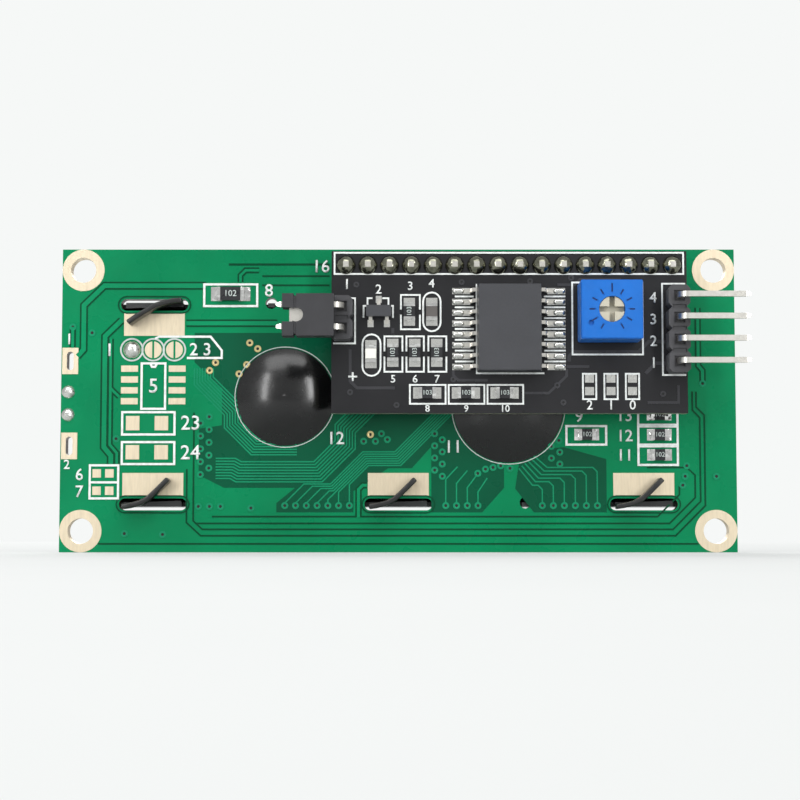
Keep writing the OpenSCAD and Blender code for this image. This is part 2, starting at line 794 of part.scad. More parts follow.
// Low bead of solder of length l along local X, from the origin
module solder_bead(l, r, h) {
  big = (r * r + h * h) / (2 * h);
  for (x = [r, l - r]) translate([x, 0, 0]) solder_dome(r, h);
  translate([r, 0, 0]) rotate([90, 0, 90]) linear_extrude(l - 2 * r) intersection() {
    translate([0, h - big]) circle(r = big);
    translate([-r - 1, 0]) square([2 * r + 2, h + 1]);
  }
}
module adapter_lands() {
  land_in = expander_w / 2 + land_out;
  toe = expander_w / 2 + lead_out;
  color("silver") slab(adapter_back, land_t) {
    for (z = expander_zs(), s = [-1, 1])
      translate([expander_at[0] + s * (land_reach + land_in) / 2, z])
        rect(land_reach - land_in, lead_w + 0.3);
    for (r = adapter_resistors) chip_lands([r[0], r[1]], r[2]);
    chip_lands(capacitor_at, 1);
    chip_lands(lamp_at, 1);
    for (b = bridges, s = [-0.5, 0.5]) translate([b[0], b[1] + s * bridge_pitch])
      rect(bridge_w, bridge_h);
    for (p = transistor_feet) translate(transistor_at + [p[0], p[1] * 1.05])
      rect(transistor_lead + 0.28, 2 * transistor_lead);
  }
  // beads beyond the expander's toes
  color("silver") for (z = expander_zs(), s = [0, 1])
    out_back(expander_at[0], chip_y, z) mirror([s, 0, 0]) translate([toe, 0, -eps])
      solder_bead(land_reach - toe, bead_r, bead_h);
}
module chip_lands(at, turn) {
  for (s = [-1, 1]) translate(at) rotate(90 * turn) translate([s * chip_l * 0.58, 0])
    rect(chip_l * 0.48, chip_w * 1.02);
}

// ---- Expander chip ----

// Moulded body: two tapered halves meeting at the lead line
module expander_body() {
  draft = 0.33;
  color("dimgray") out_back(expander_at[0], adapter_back + expander_gap + land_t, expander_at[1])
    translate([0, 0, expander_h / 2]) for (m = [0, 1]) mirror([0, 0, m]) hull() {
      linear_extrude(eps) rect(expander_w, expander_l);
      translate([0, 0, expander_h / 2 - eps]) linear_extrude(eps)
        rect(expander_w - draft, expander_l - draft);
    }
}
// Gull-wing lead seen along Z: out of the body, down, and out again to the foot
module lead_profile() {
  y1 = land_t + lead_t;
  y2 = land_t + expander_gap + expander_h / 2;
  x0 = expander_w / 2;
  x1 = x0 + lead_out - lead_foot;
  x2 = x0 + lead_out;
  polygon([
    [x0, y2 - lead_t / 2], [x1 - 0.3, y2 - lead_t / 2], [x1 - 0.05, land_t + 0.1], [x1 + 0.05, land_t],
    [x2, land_t], [x2, y1], [x1 + 0.2, y1], [x1 - 0.05, y2 + lead_t / 2 - 0.1],
    [x1 - 0.15, y2 + lead_t / 2], [x0, y2 + lead_t / 2]
  ]);
}
module expander_leads() {
  color("silver") for (z = expander_zs(), s = [0, 1])
    translate([expander_at[0], adapter_back, z - lead_w / 2]) mirror([s, 0, 0])
      linear_extrude(lead_w) lead_profile();
}

// ---- Trimmer ----

module trimmer_housing() {
  x = trimmer_at[0];
  z = trimmer_at[1];
  body_y = adapter_back + trimmer_foot;
  step = 2 * trimmer_chamfer;
  color("dodgerblue") difference() {
    union() {
      slab(body_y, trimmer_h - trimmer_foot - step) translate(trimmer_at)
        rounded_rect(trimmer_w, trimmer_l, step);
      slab(trimmer_top - step, step) translate(trimmer_at)
        rounded_rect(trimmer_w - step, trimmer_l - step, step);
      // corner feet with gaps between them
      for (u = [-1, -0.33, 0.33, 1], v = [-1, 1])
        brick(x + u * (trimmer_w - trimmer_foot_w - step) / 2, adapter_back,
          z + v * (trimmer_l - trimmer_foot_w - step) / 2,
          trimmer_foot_w, trimmer_foot + eps, trimmer_foot_w);
    }
    out_back(x, body_y, z) cylinder(d = rotor_bore, h = trimmer_h);
    // scale marks round the rotor, and the dot of the first leg
    for (a = [-150:30:150]) out_back(x, trimmer_top - mark_d, z) rotate(a - 90)
      translate([rotor_bore / 2 + 0.35, -mark_w / 2, 0]) cube([a == 0 ? 1.1 : 0.75, mark_w, 1]);
    out_back(x + trimmer_w * 0.34, trimmer_top - 3 * mark_d, z - trimmer_l * 0.23) cylinder(r = dot_r, h = 1);
    out_back(x, element_y - eps, z) cylinder(d = cavity_d, h = cavity_top - element_y);
    // open underside round the element
    brick(x, body_y - 1, z, element_w + 2 * trimmer_chamfer,
      element_y - body_y + 1 + element_t, element_h + 2 * trimmer_chamfer);
  }
}
// Rotor with a flange under the housing's roof and a cross slot in its face
module trimmer_rotor() {
  top = trimmer_top - rotor_sink;
  color("oldlace") difference() {
    union() {
      out_back(trimmer_at[0], wiper_y + wiper_t, trimmer_at[1])
        cylinder(d = rotor_d, h = top - wiper_y - wiper_t);
      out_back(trimmer_at[0], wiper_y + wiper_t, trimmer_at[1])
        cylinder(d = wiper_d, h = cavity_top - wiper_y - wiper_t - 0.1);
    }
    for (a = [0, 90]) out_back(trimmer_at[0], top - cross_d, trimmer_at[1]) rotate(a)
      translate([-rotor_d, -cross_w / 2, 0]) cube([2 * rotor_d, cross_w, cross_d + 1]);
  }
}
module trimmer_wiper() {
  color("gold") out_back(trimmer_at[0], wiper_y, trimmer_at[1]) difference() {
    cylinder(d = wiper_d, h = wiper_t);
    for (a = [45, 225]) rotate(a) translate([0.9, -0.4, -1]) cube([3, 0.8, 3]);
  }
}
module trimmer_element() {
  color("antiquewhite")
    brick(trimmer_at[0], element_y, trimmer_at[1], element_w, element_t, element_h);
}
module trimmer_legs() {
  color("silver") for (p = trimmer_legs_at)
    out_back(trimmer_at[0] + p[0], adapter_front - joint_h, trimmer_at[1] + p[1])
      cylinder(r = leg_r, h = element_y - adapter_front + joint_h);
}

// ---- Small parts on the adapter ----

module transistor_body() {
  color("dimgray")
    brick(transistor_at[0], chip_y + 0.08, transistor_at[1], transistor_w, transistor_h, transistor_l);
}
// Each lead leaves the body, drops to the board and turns outward
module transistor_leads() {
  t = transistor_lead * 0.36;
  color("silver") for (p = transistor_feet) {
    s = sign(p[1]);
    x = transistor_at[0] + p[0];
    z0 = transistor_at[1] + s * transistor_l / 2;
    brick(x, chip_y + 0.4, z0 + s * 0.12, transistor_lead, t, 0.24);
    brick(x, chip_y, z0 + s * 0.3, transistor_lead, 0.4 + t, t);
    brick(x, chip_y, z0 + s * 0.55, transistor_lead, t, 0.5);
  }
}
module power_lamp() {
  color("white") {
    chip_body(lamp_at, chip_y, chip_l, chip_w, 1);
    brick(lamp_at[0], chip_y + chip_h - 0.03, lamp_at[1], chip_w - 0.1, 0.35, chip_l - 2 * chip_end - 0.1);
  }
}
module power_lamp_ends() {
  color("silver") chip_ends(lamp_at, chip_y, chip_l, chip_w, 1);
}
module capacitor_body() {
  color("rosybrown") chip_body(capacitor_at, chip_y, chip_l, chip_w, 1);
}
module adapter_resistor(i) {
  r = adapter_resistors[i - 1];
  color("dimgray") chip_body([r[0], r[1]], chip_y, chip_l, chip_w, r[2]);
}
module adapter_chip_ends() {
  color("silver") {
    for (r = adapter_resistors) chip_ends([r[0], r[1]], chip_y, chip_l, chip_w, r[2]);
    chip_ends(capacitor_at, chip_y, chip_l, chip_w, 1);
  }
}

// ---- Bent pin headers ----

function spread(z, n) = [for (i = [0:n - 1]) z + ((n - 1) / 2 - i) * pin_pitch];
function bus_zs() = spread(bus_at[1], bus_count);
function jumper_zs() = spread(jumper_at[1], 2);

// Plastic with a waist between the pins, a pocket at each pin's root and a sunk web between two pins
module pin_block(at, zs) {
  c = block_cut;
  w = block_w / 2;
  h = pin_pitch / 2;
  top = adapter_back + block_h;
  difference() {
    slab(adapter_back, block_h) for (z = zs) translate([at[0], z])
      polygon([[-w, -h + c], [-w + c, -h], [w - c, -h], [w, -h + c],
        [w, h - c], [w - c, h], [-w + c, h], [-w, h - c]]);
    for (z = zs) {
      brick(at[0], adapter_back - 1, z, pin_s, block_h + 2, pin_s);
      brick(at[0], top - root_d, z, root_w, root_d + 1, root_w);
    }
    for (i = [1:len(zs) - 1])
      brick(at[0], top - web_d, (zs[i - 1] + zs[i]) / 2, web_w, web_d + 1, web_h);
  }
}
// Outline of a square bar of length l whose last stretch narrows to a blunt point
module tip_outline(l) {
  h = pin_s / 2;
  polygon([[0, -h], [l - tip_l, -h], [l, -h * tip_keep], [l, h * tip_keep], [l - tip_l, h], [0, h]]);
}
// Square bar along local X, narrowed on all four sides at its far end
module pointed_bar(l) {
  intersection() {
    translate([0, 0, -pin_s / 2]) linear_extrude(pin_s) tip_outline(l);
    rotate([90, 0, 0]) translate([0, 0, -pin_s / 2]) linear_extrude(pin_s) tip_outline(l);
  }
}
// Square pin up out of the plastic, then bent over towards dir and run out to reach
module bent_pin(x, z, dir, reach) {
  y0 = adapter_front - joint_h;
  x1 = x + dir * (bend + pin_s / 2);
  brick(x, y0, z, pin_s, elbow_y - bend - pin_s / 2 - y0, pin_s);
  translate([x1, elbow_y - bend - pin_s / 2, z - pin_s / 2])
    mirror([dir < 0 ? 0 : 1, 0, 0]) rotate_extrude(angle = 90) translate([bend, 0]) square([pin_s, pin_s]);
  translate([x1, elbow_y, z]) mirror([dir < 0 ? 1 : 0, 0, 0]) pointed_bar(abs(reach - x1));
}
module bus_header_block() {
  color("dimgray") pin_block(bus_at, bus_zs());
}
module bus_header_pins() {
  color("silver") for (z = bus_zs()) bent_pin(bus_at[0], z, -1, adapter_left - bus_reach);
}
module jumper_header_block() {
  color("dimgray") pin_block(jumper_at, jumper_zs());
}
module jumper_header_pins() {
  color("silver") for (z = jumper_zs()) bent_pin(jumper_at[0], z, 1, adapter_right + jumper_reach);
}
// Cap over both pins: full body, then a waist and a forked outer end
module jumper_cap() {
  body_l = cap_l - cap_fork;
  waist_in = 0.13;
  prong_w = cap_fork - 0.3;
  color("dimgray") difference() {
    union() {
      brick(cap_in + body_l / 2, elbow_y - cap_t / 2, jumper_at[1], body_l, cap_t, cap_h);
      // waist, a little thinner than the body
      brick(cap_in + body_l, elbow_y - cap_t / 2 + waist_in, jumper_at[1],
        cap_fork / 2, cap_t - 2 * waist_in, cap_h - 4 * waist_in);
      for (s = [-1, 1])
        brick(cap_in + cap_l - prong_w / 2, elbow_y - cap_t / 2, jumper_at[1] + s * (cap_h - cap_fork) / 2,
          prong_w, cap_t, cap_fork);
    }
    // hollow for the clip, with a round notch between the prongs
    brick(cap_in + cap_l / 2, elbow_y - clip_s / 2 - clip_t - seat_gap, jumper_at[1], cap_l + 2,
      clip_s + 2 * (clip_t + seat_gap), pin_pitch + clip_s + 2 * (clip_t + seat_gap));
    out_back(cap_in + body_l, elbow_y - cap_t, jumper_at[1]) cylinder(r = cap_fork / 2, h = 2 * cap_t);
  }
}
// Folded spring clip that joins the two pins
module jumper_clip() {
  l = cap_l - 1.1;
  h = pin_pitch + clip_s + 2 * clip_t;
  color("silver") difference() {
    brick(cap_in + 0.3 + l / 2, elbow_y - clip_s / 2 - clip_t, jumper_at[1], l, clip_s + 2 * clip_t, h);
    brick(cap_in + 0.3 + l / 2, elbow_y - clip_s / 2, jumper_at[1], l + 2, clip_s, h - 2 * clip_t);
  }
}
// Flush-cut joints under the adapter
module adapter_joints() {
  color("silver") for (p = [
    for (z = bus_zs()) [bus_at[0], z, 1], for (z = jumper_zs()) [jumper_at[0], z, 1],
    for (q = trimmer_legs_at) [trimmer_at[0] + q[0], trimmer_at[1] + q[1], 0]
  ]) out_front(p[0], adapter_front, p[1]) difference() {
    bell(joint_r, joint_h - seat_gap, 0.5);
    if (p[2] == 1) cube([pin_s, pin_s, 9], center = true);
    else cylinder(r = leg_r, h = 9, center = true);
  }
}

display_board();
board_lands();
bezel();
front_polarizer();
cell_front_glass();
cell_seal();
cell_rear_glass();
rear_polarizer();
elastomer_strip_upper();
elastomer_strip_lower();
diffuser_sheet();
light_guide();
tab_film();
reflector_sheet();
backlight_lamp();
lamp_leads();
controller_dome();
driver_dome();
solder_bridge();
for (i = [1:5]) board_resistor(i);
board_resistor_ends();
header_spacer();
header_pins();
header_solder_front();
header_solder_back();
adapter_board();
adapter_lands();
expander_body();
expander_leads();
trimmer_housing();
trimmer_rotor();
trimmer_wiper();
trimmer_element();
trimmer_legs();
transistor_body();
transistor_leads();
power_lamp();
power_lamp_ends();
capacitor_body();
for (i = [1:7]) adapter_resistor(i);
adapter_chip_ends();
bus_header_block();
bus_header_pins();
jumper_header_block();
jumper_header_pins();
jumper_cap();
jumper_clip();
adapter_joints();
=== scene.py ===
# A two-line character display with its serial adapter, dressed for the camera.
# Metres, in the part's own frame: X to the reader's right, Z up, the display faces -Y.
# The drawn things (copper, ink, numbers) are given in millimetres on the face they lie on.
import math

import bpy
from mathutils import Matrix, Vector


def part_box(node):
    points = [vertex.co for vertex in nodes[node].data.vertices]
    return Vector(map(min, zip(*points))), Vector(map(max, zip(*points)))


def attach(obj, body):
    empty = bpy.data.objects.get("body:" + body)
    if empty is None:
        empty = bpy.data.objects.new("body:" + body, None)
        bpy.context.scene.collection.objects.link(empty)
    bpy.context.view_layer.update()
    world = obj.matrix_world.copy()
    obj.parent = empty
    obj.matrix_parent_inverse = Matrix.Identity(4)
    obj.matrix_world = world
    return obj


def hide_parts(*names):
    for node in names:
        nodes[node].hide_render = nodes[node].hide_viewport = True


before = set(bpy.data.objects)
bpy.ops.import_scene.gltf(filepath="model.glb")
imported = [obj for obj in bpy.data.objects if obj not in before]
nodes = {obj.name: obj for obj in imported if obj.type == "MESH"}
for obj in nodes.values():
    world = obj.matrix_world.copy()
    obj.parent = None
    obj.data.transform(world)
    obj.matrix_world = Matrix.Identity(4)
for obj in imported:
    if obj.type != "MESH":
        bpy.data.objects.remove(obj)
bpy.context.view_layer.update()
mm = 0.001
print("frame loaded:", len(nodes), "nodes")


class Wire:
    # one output of a node; arithmetic on it adds Math nodes
    def __init__(self, bench, socket):
        self.bench = bench
        self.socket = socket

    def maths(self, operation, first, second=0.0):
        return self.bench.node("ShaderNodeMath", {"operation": operation}, {0: first, 1: second})

    def __add__(self, other):
        return self.maths("ADD", self, other)

    def __radd__(self, other):
        return self.maths("ADD", other, self)

    def __sub__(self, other):
        return self.maths("SUBTRACT", self, other)

    def __rsub__(self, other):
        return self.maths("SUBTRACT", other, self)

    def __mul__(self, other):
        return self.maths("MULTIPLY", self, other)

    def __rmul__(self, other):
        return self.maths("MULTIPLY", other, self)

    def __gt__(self, other):
        return self.maths("GREATER_THAN", self, other)

    def __lt__(self, other):
        return self.maths("LESS_THAN", self, other)

    def size(self):
        return self.maths("ABSOLUTE", self)

    def most(self, other):
        return self.maths("MAXIMUM", self, other)

    def wrap(self, step):
        # counted from far below zero, so that it repeats evenly on both sides
        return self.maths("MODULO", self + 1000 * step, step)


class Bench:
    # a node tree to build in
    def __init__(self, tree):
        self.tree = tree

    def node(self, kind, settings, inputs, output=0):
        made = self.tree.nodes.new(kind)
        for key, value in settings.items():
            setattr(made, key, value)
        for socket, value in inputs.items():
            self.plug(made.inputs[socket], value)
        return Wire(self, made.outputs[output])

    def plug(self, socket, value):
        if isinstance(value, Wire):
            self.tree.links.new(value.socket, socket)
        else:
            socket.default_value = value


class Paint(Bench):
    # a material round one Principled shader
    def __init__(self, name, **look):
        self.material = bpy.data.materials.new(name)
        self.material.use_nodes = True
        super().__init__(self.material.node_tree)
        self.shader = self.tree.nodes["Principled BSDF"]
        for key, value in look.items():
            self.shader.inputs[key.replace("_", " ")].default_value = value
        self.spot = self.node("ShaderNodeTexCoord", {}, {}, "Object")

    def feed(self, name, value):
        self.plug(self.shader.inputs[name], value)

    def axis(self, index):
        return self.node("ShaderNodeSeparateXYZ", {}, {0: self.spot}, index)

    def noise(self, scale, detail=2.0, stretch=(1, 1, 1)):
        spot = self.node("ShaderNodeVectorMath", {"operation": "MULTIPLY"}, {0: self.spot, 1: stretch})
        return self.node("ShaderNodeTexNoise", {}, {"Vector": spot, "Scale": scale, "Detail": detail})

    def between(self, value, low, high, start=0.0, end=1.0):
        return self.node("ShaderNodeMapRange", {}, {0: value, 1: low, 2: high, 3: start, 4: end})

    def mix(self, amount, first, second):
        return self.node("ShaderNodeMix", {"data_type": "RGBA"}, {0: amount, 6: first, 7: second}, 2)

    def bump(self, height, strength, distance):
        inputs = {"Height": height, "Strength": strength, "Distance": distance}
        self.feed("Normal", self.node("ShaderNodeBump", {}, inputs))


def tone(r, g, b):
    # a screen colour of 0 to 255 as the shader's linear colour
    def channel(v):
        v = v / 255
        return v / 12.92 if v < 0.04045 else ((v + 0.055) / 1.055) ** 2.4
    return (channel(r), channel(g), channel(b), 1.0)


def shade(colour, amount):
    return tuple(min(1.0, c * amount) for c in colour[:3]) + (1.0,)


def lacquer(name, colour, edge=None, spread=0.1, gloss=0.3):
    # solder resist: a little cloudy, with the glass weave just showing through
    paint = Paint(name, Roughness=gloss, Coat_Weight=0.05, Coat_Roughness=0.08, Specular_IOR_Level=0.14)
    cloud = paint.between(paint.noise(90, 3), 0.35, 0.65)
    base = paint.mix(cloud, shade(colour, 1 - spread), shade(colour, 1 + spread))
    if edge:
        # the cut edge shows the bare core, and the walls of slots and holes show it darker as painted shade
        low, high = edge["box"]
        skin, rim = edge["skin"] * mm, edge["rim"] * mm
        depth = paint.axis(1)
        core = (depth > low.y + skin) * (depth < high.y - skin)
        layers = paint.noise(900, 2, (0.3, 6, 0.3))
        raw = paint.mix(layers, shade(edge["colour"], 0.8), edge["colour"])
        outer = (paint.axis(0) < low.x + rim) + (paint.axis(0) > high.x - rim)
        outer = outer + (paint.axis(2) < low.z + rim) + (paint.axis(2) > high.z - rim)
        # painted shade: the walls of slots and holes are darker and browner than the outer edge
        paintedShadeWalls = paint.mix(layers, tone(48, 36, 30), tone(92, 66, 56))
        base = paint.mix(core, base, paint.mix(outer > 0.5, paintedShadeWalls, raw))
    paint.feed("Base Color", base)
    paint.feed("Roughness", paint.between(paint.noise(260, 3), 0.3, 0.7, gloss - 0.07, gloss + 0.07))
    glass = {"Vector": paint.spot, "Scale": 340.0, "Distortion": 0.6}
    weave = paint.node("ShaderNodeTexWave", {"bands_direction": "X"}, glass)
    weft = paint.node("ShaderNodeTexWave", {"bands_direction": "Z"}, glass)
    paint.bump(weave * weft + paint.noise(500, 3) * 1.5, 0.12, 0.01 * mm)
    return paint.material


def ink(name, colour):
    # screened ink: dull, a little thin in places
    paint = Paint(name, Roughness=0.55, Specular_IOR_Level=0.3)
    thin = paint.between(paint.noise(2600, 4), 0.3, 0.6)
    paint.feed("Base Color", paint.mix(thin, shade(colour, 0.8), colour))
    paint.bump(paint.noise(3000, 3), 0.2, 0.01 * mm)
    return paint.material


def metal(name, colour, rough, streak=(1, 1, 1), grain=1200, dull=0.25, depth=0.02):
    # plated or soldered metal, duller and rougher in its hollows; depth in millimetres
    paint = Paint(name, Metallic=1.0)
    bright = paint.between(paint.noise(grain, 4, streak), 0.3, 0.7)
    paint.feed("Base Color", paint.mix(bright, shade(colour, 1 - dull), colour))
    paint.feed("Roughness", paint.between(bright, 0, 1, rough + 0.1, rough - 0.04))
    paint.bump(paint.noise(grain * 0.6, 2, streak), 0.6, depth * mm)
    return paint.material


def moulded(name, colour, rough, grain=2200, spread=0.12, coat=0.0, bite=0.25):
    # moulded plastic or epoxy with a fine skin
    paint = Paint(name, Coat_Weight=coat, Coat_Roughness=0.1, Specular_IOR_Level=0.4)
    cloud = paint.between(paint.noise(400, 3), 0.3, 0.7)
    paint.feed("Base Color", paint.mix(cloud, shade(colour, 1 - spread), shade(colour, 1 + spread)))
    paint.feed("Roughness", paint.between(paint.noise(grain, 3), 0.3, 0.7, rough - 0.05, rough + 0.08))
    paint.bump(paint.noise(grain, 3), bite, 0.02 * mm)
    return paint.material


def clearPlate(name, colour):
    paint = Paint(name, Transmission_Weight=0.85, Roughness=0.05, IOR=1.5)
    paint.feed("Base Color", paint.mix(paint.noise(60), shade(colour, 0.97), colour))
    return paint.material


def displayFilm():
    # dark blue cell: paler towards both ends and a little at the top, which is painted backlight glow and
    # painted reflection; fine rows, and the faint outlines of its dots
    look = {"deep": tone(24, 60, 128), "pale": tone(116, 148, 188), "dots": tone(20, 40, 90),
            "rows": tone(150, 175, 215), "margin": 1.2 * mm, "fadeLeft": 17 * mm, "fadeRight": 7 * mm,
            "fadeTop": 5 * mm, "endsShow": 0.75, "paintedGlowTop": 0.054, "row": 0.6 * mm, "rowGap": 0.82,
            "rowsShow": 0.05, "cell": 3.55 * mm, "cells": 16, "line": 5.95 * mm, "dot": 0.6 * mm,
            "across": 5, "down": 8.2, "dotGap": 0.1, "dotsShow": 0.045}
    paint = Paint("displayFilm", Roughness=0.3, Coat_Weight=0.25, Coat_Roughness=0.06,
                  Specular_IOR_Level=0.3)
    low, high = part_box("front_polarizer")
    cell, line, dot = look["cell"], look["line"], look["dot"]
    x, z = paint.axis(0), paint.axis(2)
    up = z - (low.z + high.z) / 2
    half = high.x - look["margin"]
    # painted light: the ends and the top fade to the paler blue, more broadly on the left
    left = paint.between(x, look["fadeLeft"] - half, -half)
    right = paint.between(x, half - look["fadeRight"], half)
    top = paint.between(z, high.z - look["fadeTop"], high.z, 0, look["paintedGlowTop"])
    ends = (left * left + right * right) * look["endsShow"]
    base = paint.mix(ends + top, look["deep"], look["pale"])
    inCell = ((x + cell / 2).wrap(cell) - cell / 2).size() < dot * look["across"] / 2
    inLine = (up.wrap(line) - line / 2).size() < dot * look["down"] / 2
    inside = (x.size() < cell * look["cells"] / 2) * (up.size() < line)
    dots = (x.wrap(dot) > dot * look["dotGap"]) * (up.wrap(dot) > dot * look["dotGap"])
    base = paint.mix(inCell * inLine * inside * dots * look["dotsShow"], base, look["dots"])
    rows = (z.wrap(look["row"]) > look["row"] * look["rowGap"]) * look["rowsShow"]
    base = paint.mix(rows, base, look["rows"])
    paint.feed("Base Color", base)
    paint.bump(paint.noise(900, 2), 0.05, 0.01 * mm)
    return paint.material


def steelPaint(name, dark, light):
    # black satin paint with a fine orange peel and a few bright specks
    paint = Paint(name, Coat_Weight=0.15, Coat_Roughness=0.25, Specular_IOR_Level=0.5)
    cloud = paint.between(paint.noise(300, 4), 0.3, 0.7)
    base = paint.mix(cloud, dark, light)
    specks = paint.noise(5200, 2) > 0.74
    base = paint.mix(specks * 0.35, base, tone(120, 120, 122))
    paint.feed("Base Color", base)
    paint.feed("Roughness", paint.between(paint.noise(1400, 3), 0.3, 0.7, 0.33, 0.45))
    paint.bump(paint.noise(2400, 3), 0.3, 0.015 * mm)
    return paint.material


def epoxy():
    paint = Paint("epoxyDome", Specular_IOR_Level=0.35, Coat_Weight=0.35, Coat_Roughness=0.16)
    pits = paint.between(paint.noise(1500, 2), 0.62, 0.7)
    paint.feed("Base Color", paint.mix(paint.noise(200), tone(10, 10, 11), tone(22, 22, 23)))
    paint.feed("Roughness", paint.between(paint.noise(500, 3), 0.3, 0.7, 0.2, 0.32))
    paint.bump(paint.noise(240, 4) + pits * -0.3, 0.25, 0.06 * mm)
    return paint.material


greens = {"pour": tone(1, 126, 80), "bare": tone(0, 68, 42), "field": tone(3, 80, 54),
          "line": tone(8, 134, 88), "thin": tone(22, 134, 94), "core": tone(178, 192, 168)}
boardBox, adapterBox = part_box("display_board"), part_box("adapter_board")
# what a board's cut edge shows, under a skin and inside a rim given in millimetres
boardCore = {"box": boardBox, "colour": greens["core"], "skin": 0.05, "rim": 0.1}
adapterCore = {"box": adapterBox, "colour": tone(150, 148, 132), "skin": 0.05, "rim": 0.1}
finish = {
    "boardGreen": lacquer("boardGreen", greens["pour"], boardCore),
    "bareGreen": lacquer("bareGreen", greens["bare"]),
    "fieldGreen": lacquer("fieldGreen", greens["field"]),
    "lineGreen": lacquer("lineGreen", greens["line"]),
    "thinGreen": lacquer("thinGreen", greens["thin"]),
    "adapterBlack": lacquer("adapterBlack", tone(42, 42, 44), adapterCore, 0.12, 0.34),
    "adapterLine": lacquer("adapterLine", tone(62, 62, 65)),
    "whiteInk": ink("whiteInk", tone(236, 240, 238)),
    "greyInk": ink("greyInk", tone(196, 206, 202)),
    "land": metal("platedLand", tone(234, 219, 192), 0.4, (8, 1, 1), 260, 0.2),
    "ring": metal("goldRing", tone(226, 208, 150), 0.3),
    "solder": metal("solder", tone(232, 232, 228), 0.24, grain=1500, dull=0.35, depth=0.12),
    "tin": metal("tinEnds", tone(244, 244, 242), 0.16, grain=1000, dull=0.45, depth=0.6),
    "flux": metal("fluxedSolder", tone(146, 146, 130), 0.12, grain=1300, dull=0.6, depth=0.3),
    "pin": metal("tinnedPin", tone(220, 217, 210), 0.32, (1, 1, 1), 1500, 0.2, 0.04),
    "brass": metal("contactBrass", tone(214, 184, 110), 0.28),
    "bezel": steelPaint("bezelPaint", tone(24, 25, 27), tone(34, 35, 37)),
    # the tabs carry the bezel's own black paint, made darker as painted shade
    "tab": steelPaint("tabPaintAndPaintedShade", tone(14, 14, 15), tone(24, 24, 25)),
    "film": displayFilm(),
    "glass": clearPlate("clearPlate", tone(225, 235, 240)),
    "guide": moulded("lightGuide", tone(236, 240, 243), 0.2, 900, 0.03),
    "whiteFilm": moulded("whiteFilm", tone(222, 225, 229), 0.42, 1500, 0.03, bite=0.1),
    "seal": moulded("cellSeal", tone(205, 205, 198), 0.5),
    "rubber": moulded("contactRubber", tone(205, 182, 180), 0.6),
    "epoxy": epoxy(),
    "nylon": moulded("headerNylon", tone(52, 52, 55), 0.42, 1800),
    "blockNylon": moulded("blockNylon", tone(66, 66, 69), 0.46, 1600),
    "chip": moulded("chipBody", tone(60, 61, 65), 0.5, 3600, 0.06, bite=0.5),
    "glaze": moulded("resistorGlaze", tone(40, 40, 43), 0.3, 1500),
    "ceramic": moulded("capacitorBody", tone(92, 88, 86), 0.45),
    "blue": moulded("trimmerBlue", tone(16, 104, 194), 0.36, 1500, 0.05, bite=0.12),
    # painted shade for the bottoms of the trimmer's recessed marks
    "paintedShadeBlue": moulded("paintedMarkShade", tone(6, 44, 104), 0.5, 1500, 0.05),
    "cream": moulded("rotorCream", tone(188, 183, 166), 0.5, 1200, 0.08),
    "plate": moulded("elementPlate", tone(222, 218, 206), 0.5),
    "lamp": moulded("lampBody", tone(236, 236, 228), 0.3, 900, 0.03, 0.5),
    # painted shade: the near-black in the vias' dimples stands for the shade inside their holes
    "dark": moulded("paintedHoleShade", tone(14, 16, 16), 0.6),
}

nodeFinish = {
    "display_board": "boardGreen", "board_lands": "land", "bezel": "bezel", "front_polarizer": "film",
    "cell_front_glass": "glass", "cell_seal": "seal", "cell_rear_glass": "glass",
    "rear_polarizer": "film", "elastomer_strip_upper": "rubber", "elastomer_strip_lower": "rubber",
    "diffuser_sheet": "whiteFilm", "light_guide": "guide", "tab_film": "whiteFilm",
    "reflector_sheet": "whiteFilm", "backlight_lamp": "lamp", "lamp_leads": "solder",
    "controller_dome": "epoxy", "driver_dome": "epoxy", "solder_bridge": "solder",
    "board_resistor_ends": "tin", "header_spacer": "nylon", "header_pins": "pin",
    "header_solder_front": "solder", "header_solder_back": "flux", "adapter_board": "adapterBlack",
    "adapter_lands": "solder", "expander_body": "chip", "expander_leads": "pin",
    "trimmer_housing": "blue", "trimmer_rotor": "cream", "trimmer_wiper": "brass",
    "trimmer_element": "plate", "trimmer_legs": "pin", "transistor_body": "chip",
    "transistor_leads": "pin", "power_lamp": "lamp", "power_lamp_ends": "tin",
    "capacitor_body": "ceramic", "adapter_chip_ends": "tin", "bus_header_block": "blockNylon",
    "bus_header_pins": "pin", "jumper_header_block": "blockNylon", "jumper_header_pins": "pin",
    "jumper_cap": "nylon", "jumper_clip": "pin", "adapter_joints": "solder",
}
for name, node in nodes.items():
    look = nodeFinish.get(name, "glaze")
    for slot in node.material_slots:
        slot.material = finish[look]
print("finishes laid on the frame")


def onlySelect(*objects):
    bpy.ops.object.select_all(action="DESELECT")
    for thing in objects:
        thing.select_set(True)
    bpy.context.view_layer.objects.active = objects[0]


# a face to draw on: its height in Y, and whether it looks to the front or to the back
faces = {
    "boardFront": {"y": boardBox[0].y, "back": False},
    "boardBack": {"y": boardBox[1].y, "back": True},
    "adapterBack": {"y": adapterBox[1].y, "back": True},
}
# what is drawn on a face: its height over the lacquer, and its own thickness
levels = {"field": 0.004, "border": 0.02, "trackBorder": 0.032, "line": 0.036, "via": 0.05, "ink": 0.072}
films = {"field": 0.01, "border": 0.004, "line": 0.02, "thin": 0.018, "faint": 0.03, "ink": 0.012}
# neighbours stand at slightly different heights, so that no two faces coincide
stagger = {"step": 0.002, "parts": 5, "vias": 3}
pen = {"sharpest": 0.2, "tiny": 1e-4, "seam": 0.0005, "letter": 1.4, "letterSteps": 3}


def across(face, x):
    # drawing X of a part X, so that a back face is drawn as its reader sees it
    return -x if faces[face]["back"] else x


def settled(piece):
    # its place goes into its mesh
    onlySelect(piece)
    bpy.ops.object.transform_apply(location=True, rotation=True, scale=True)


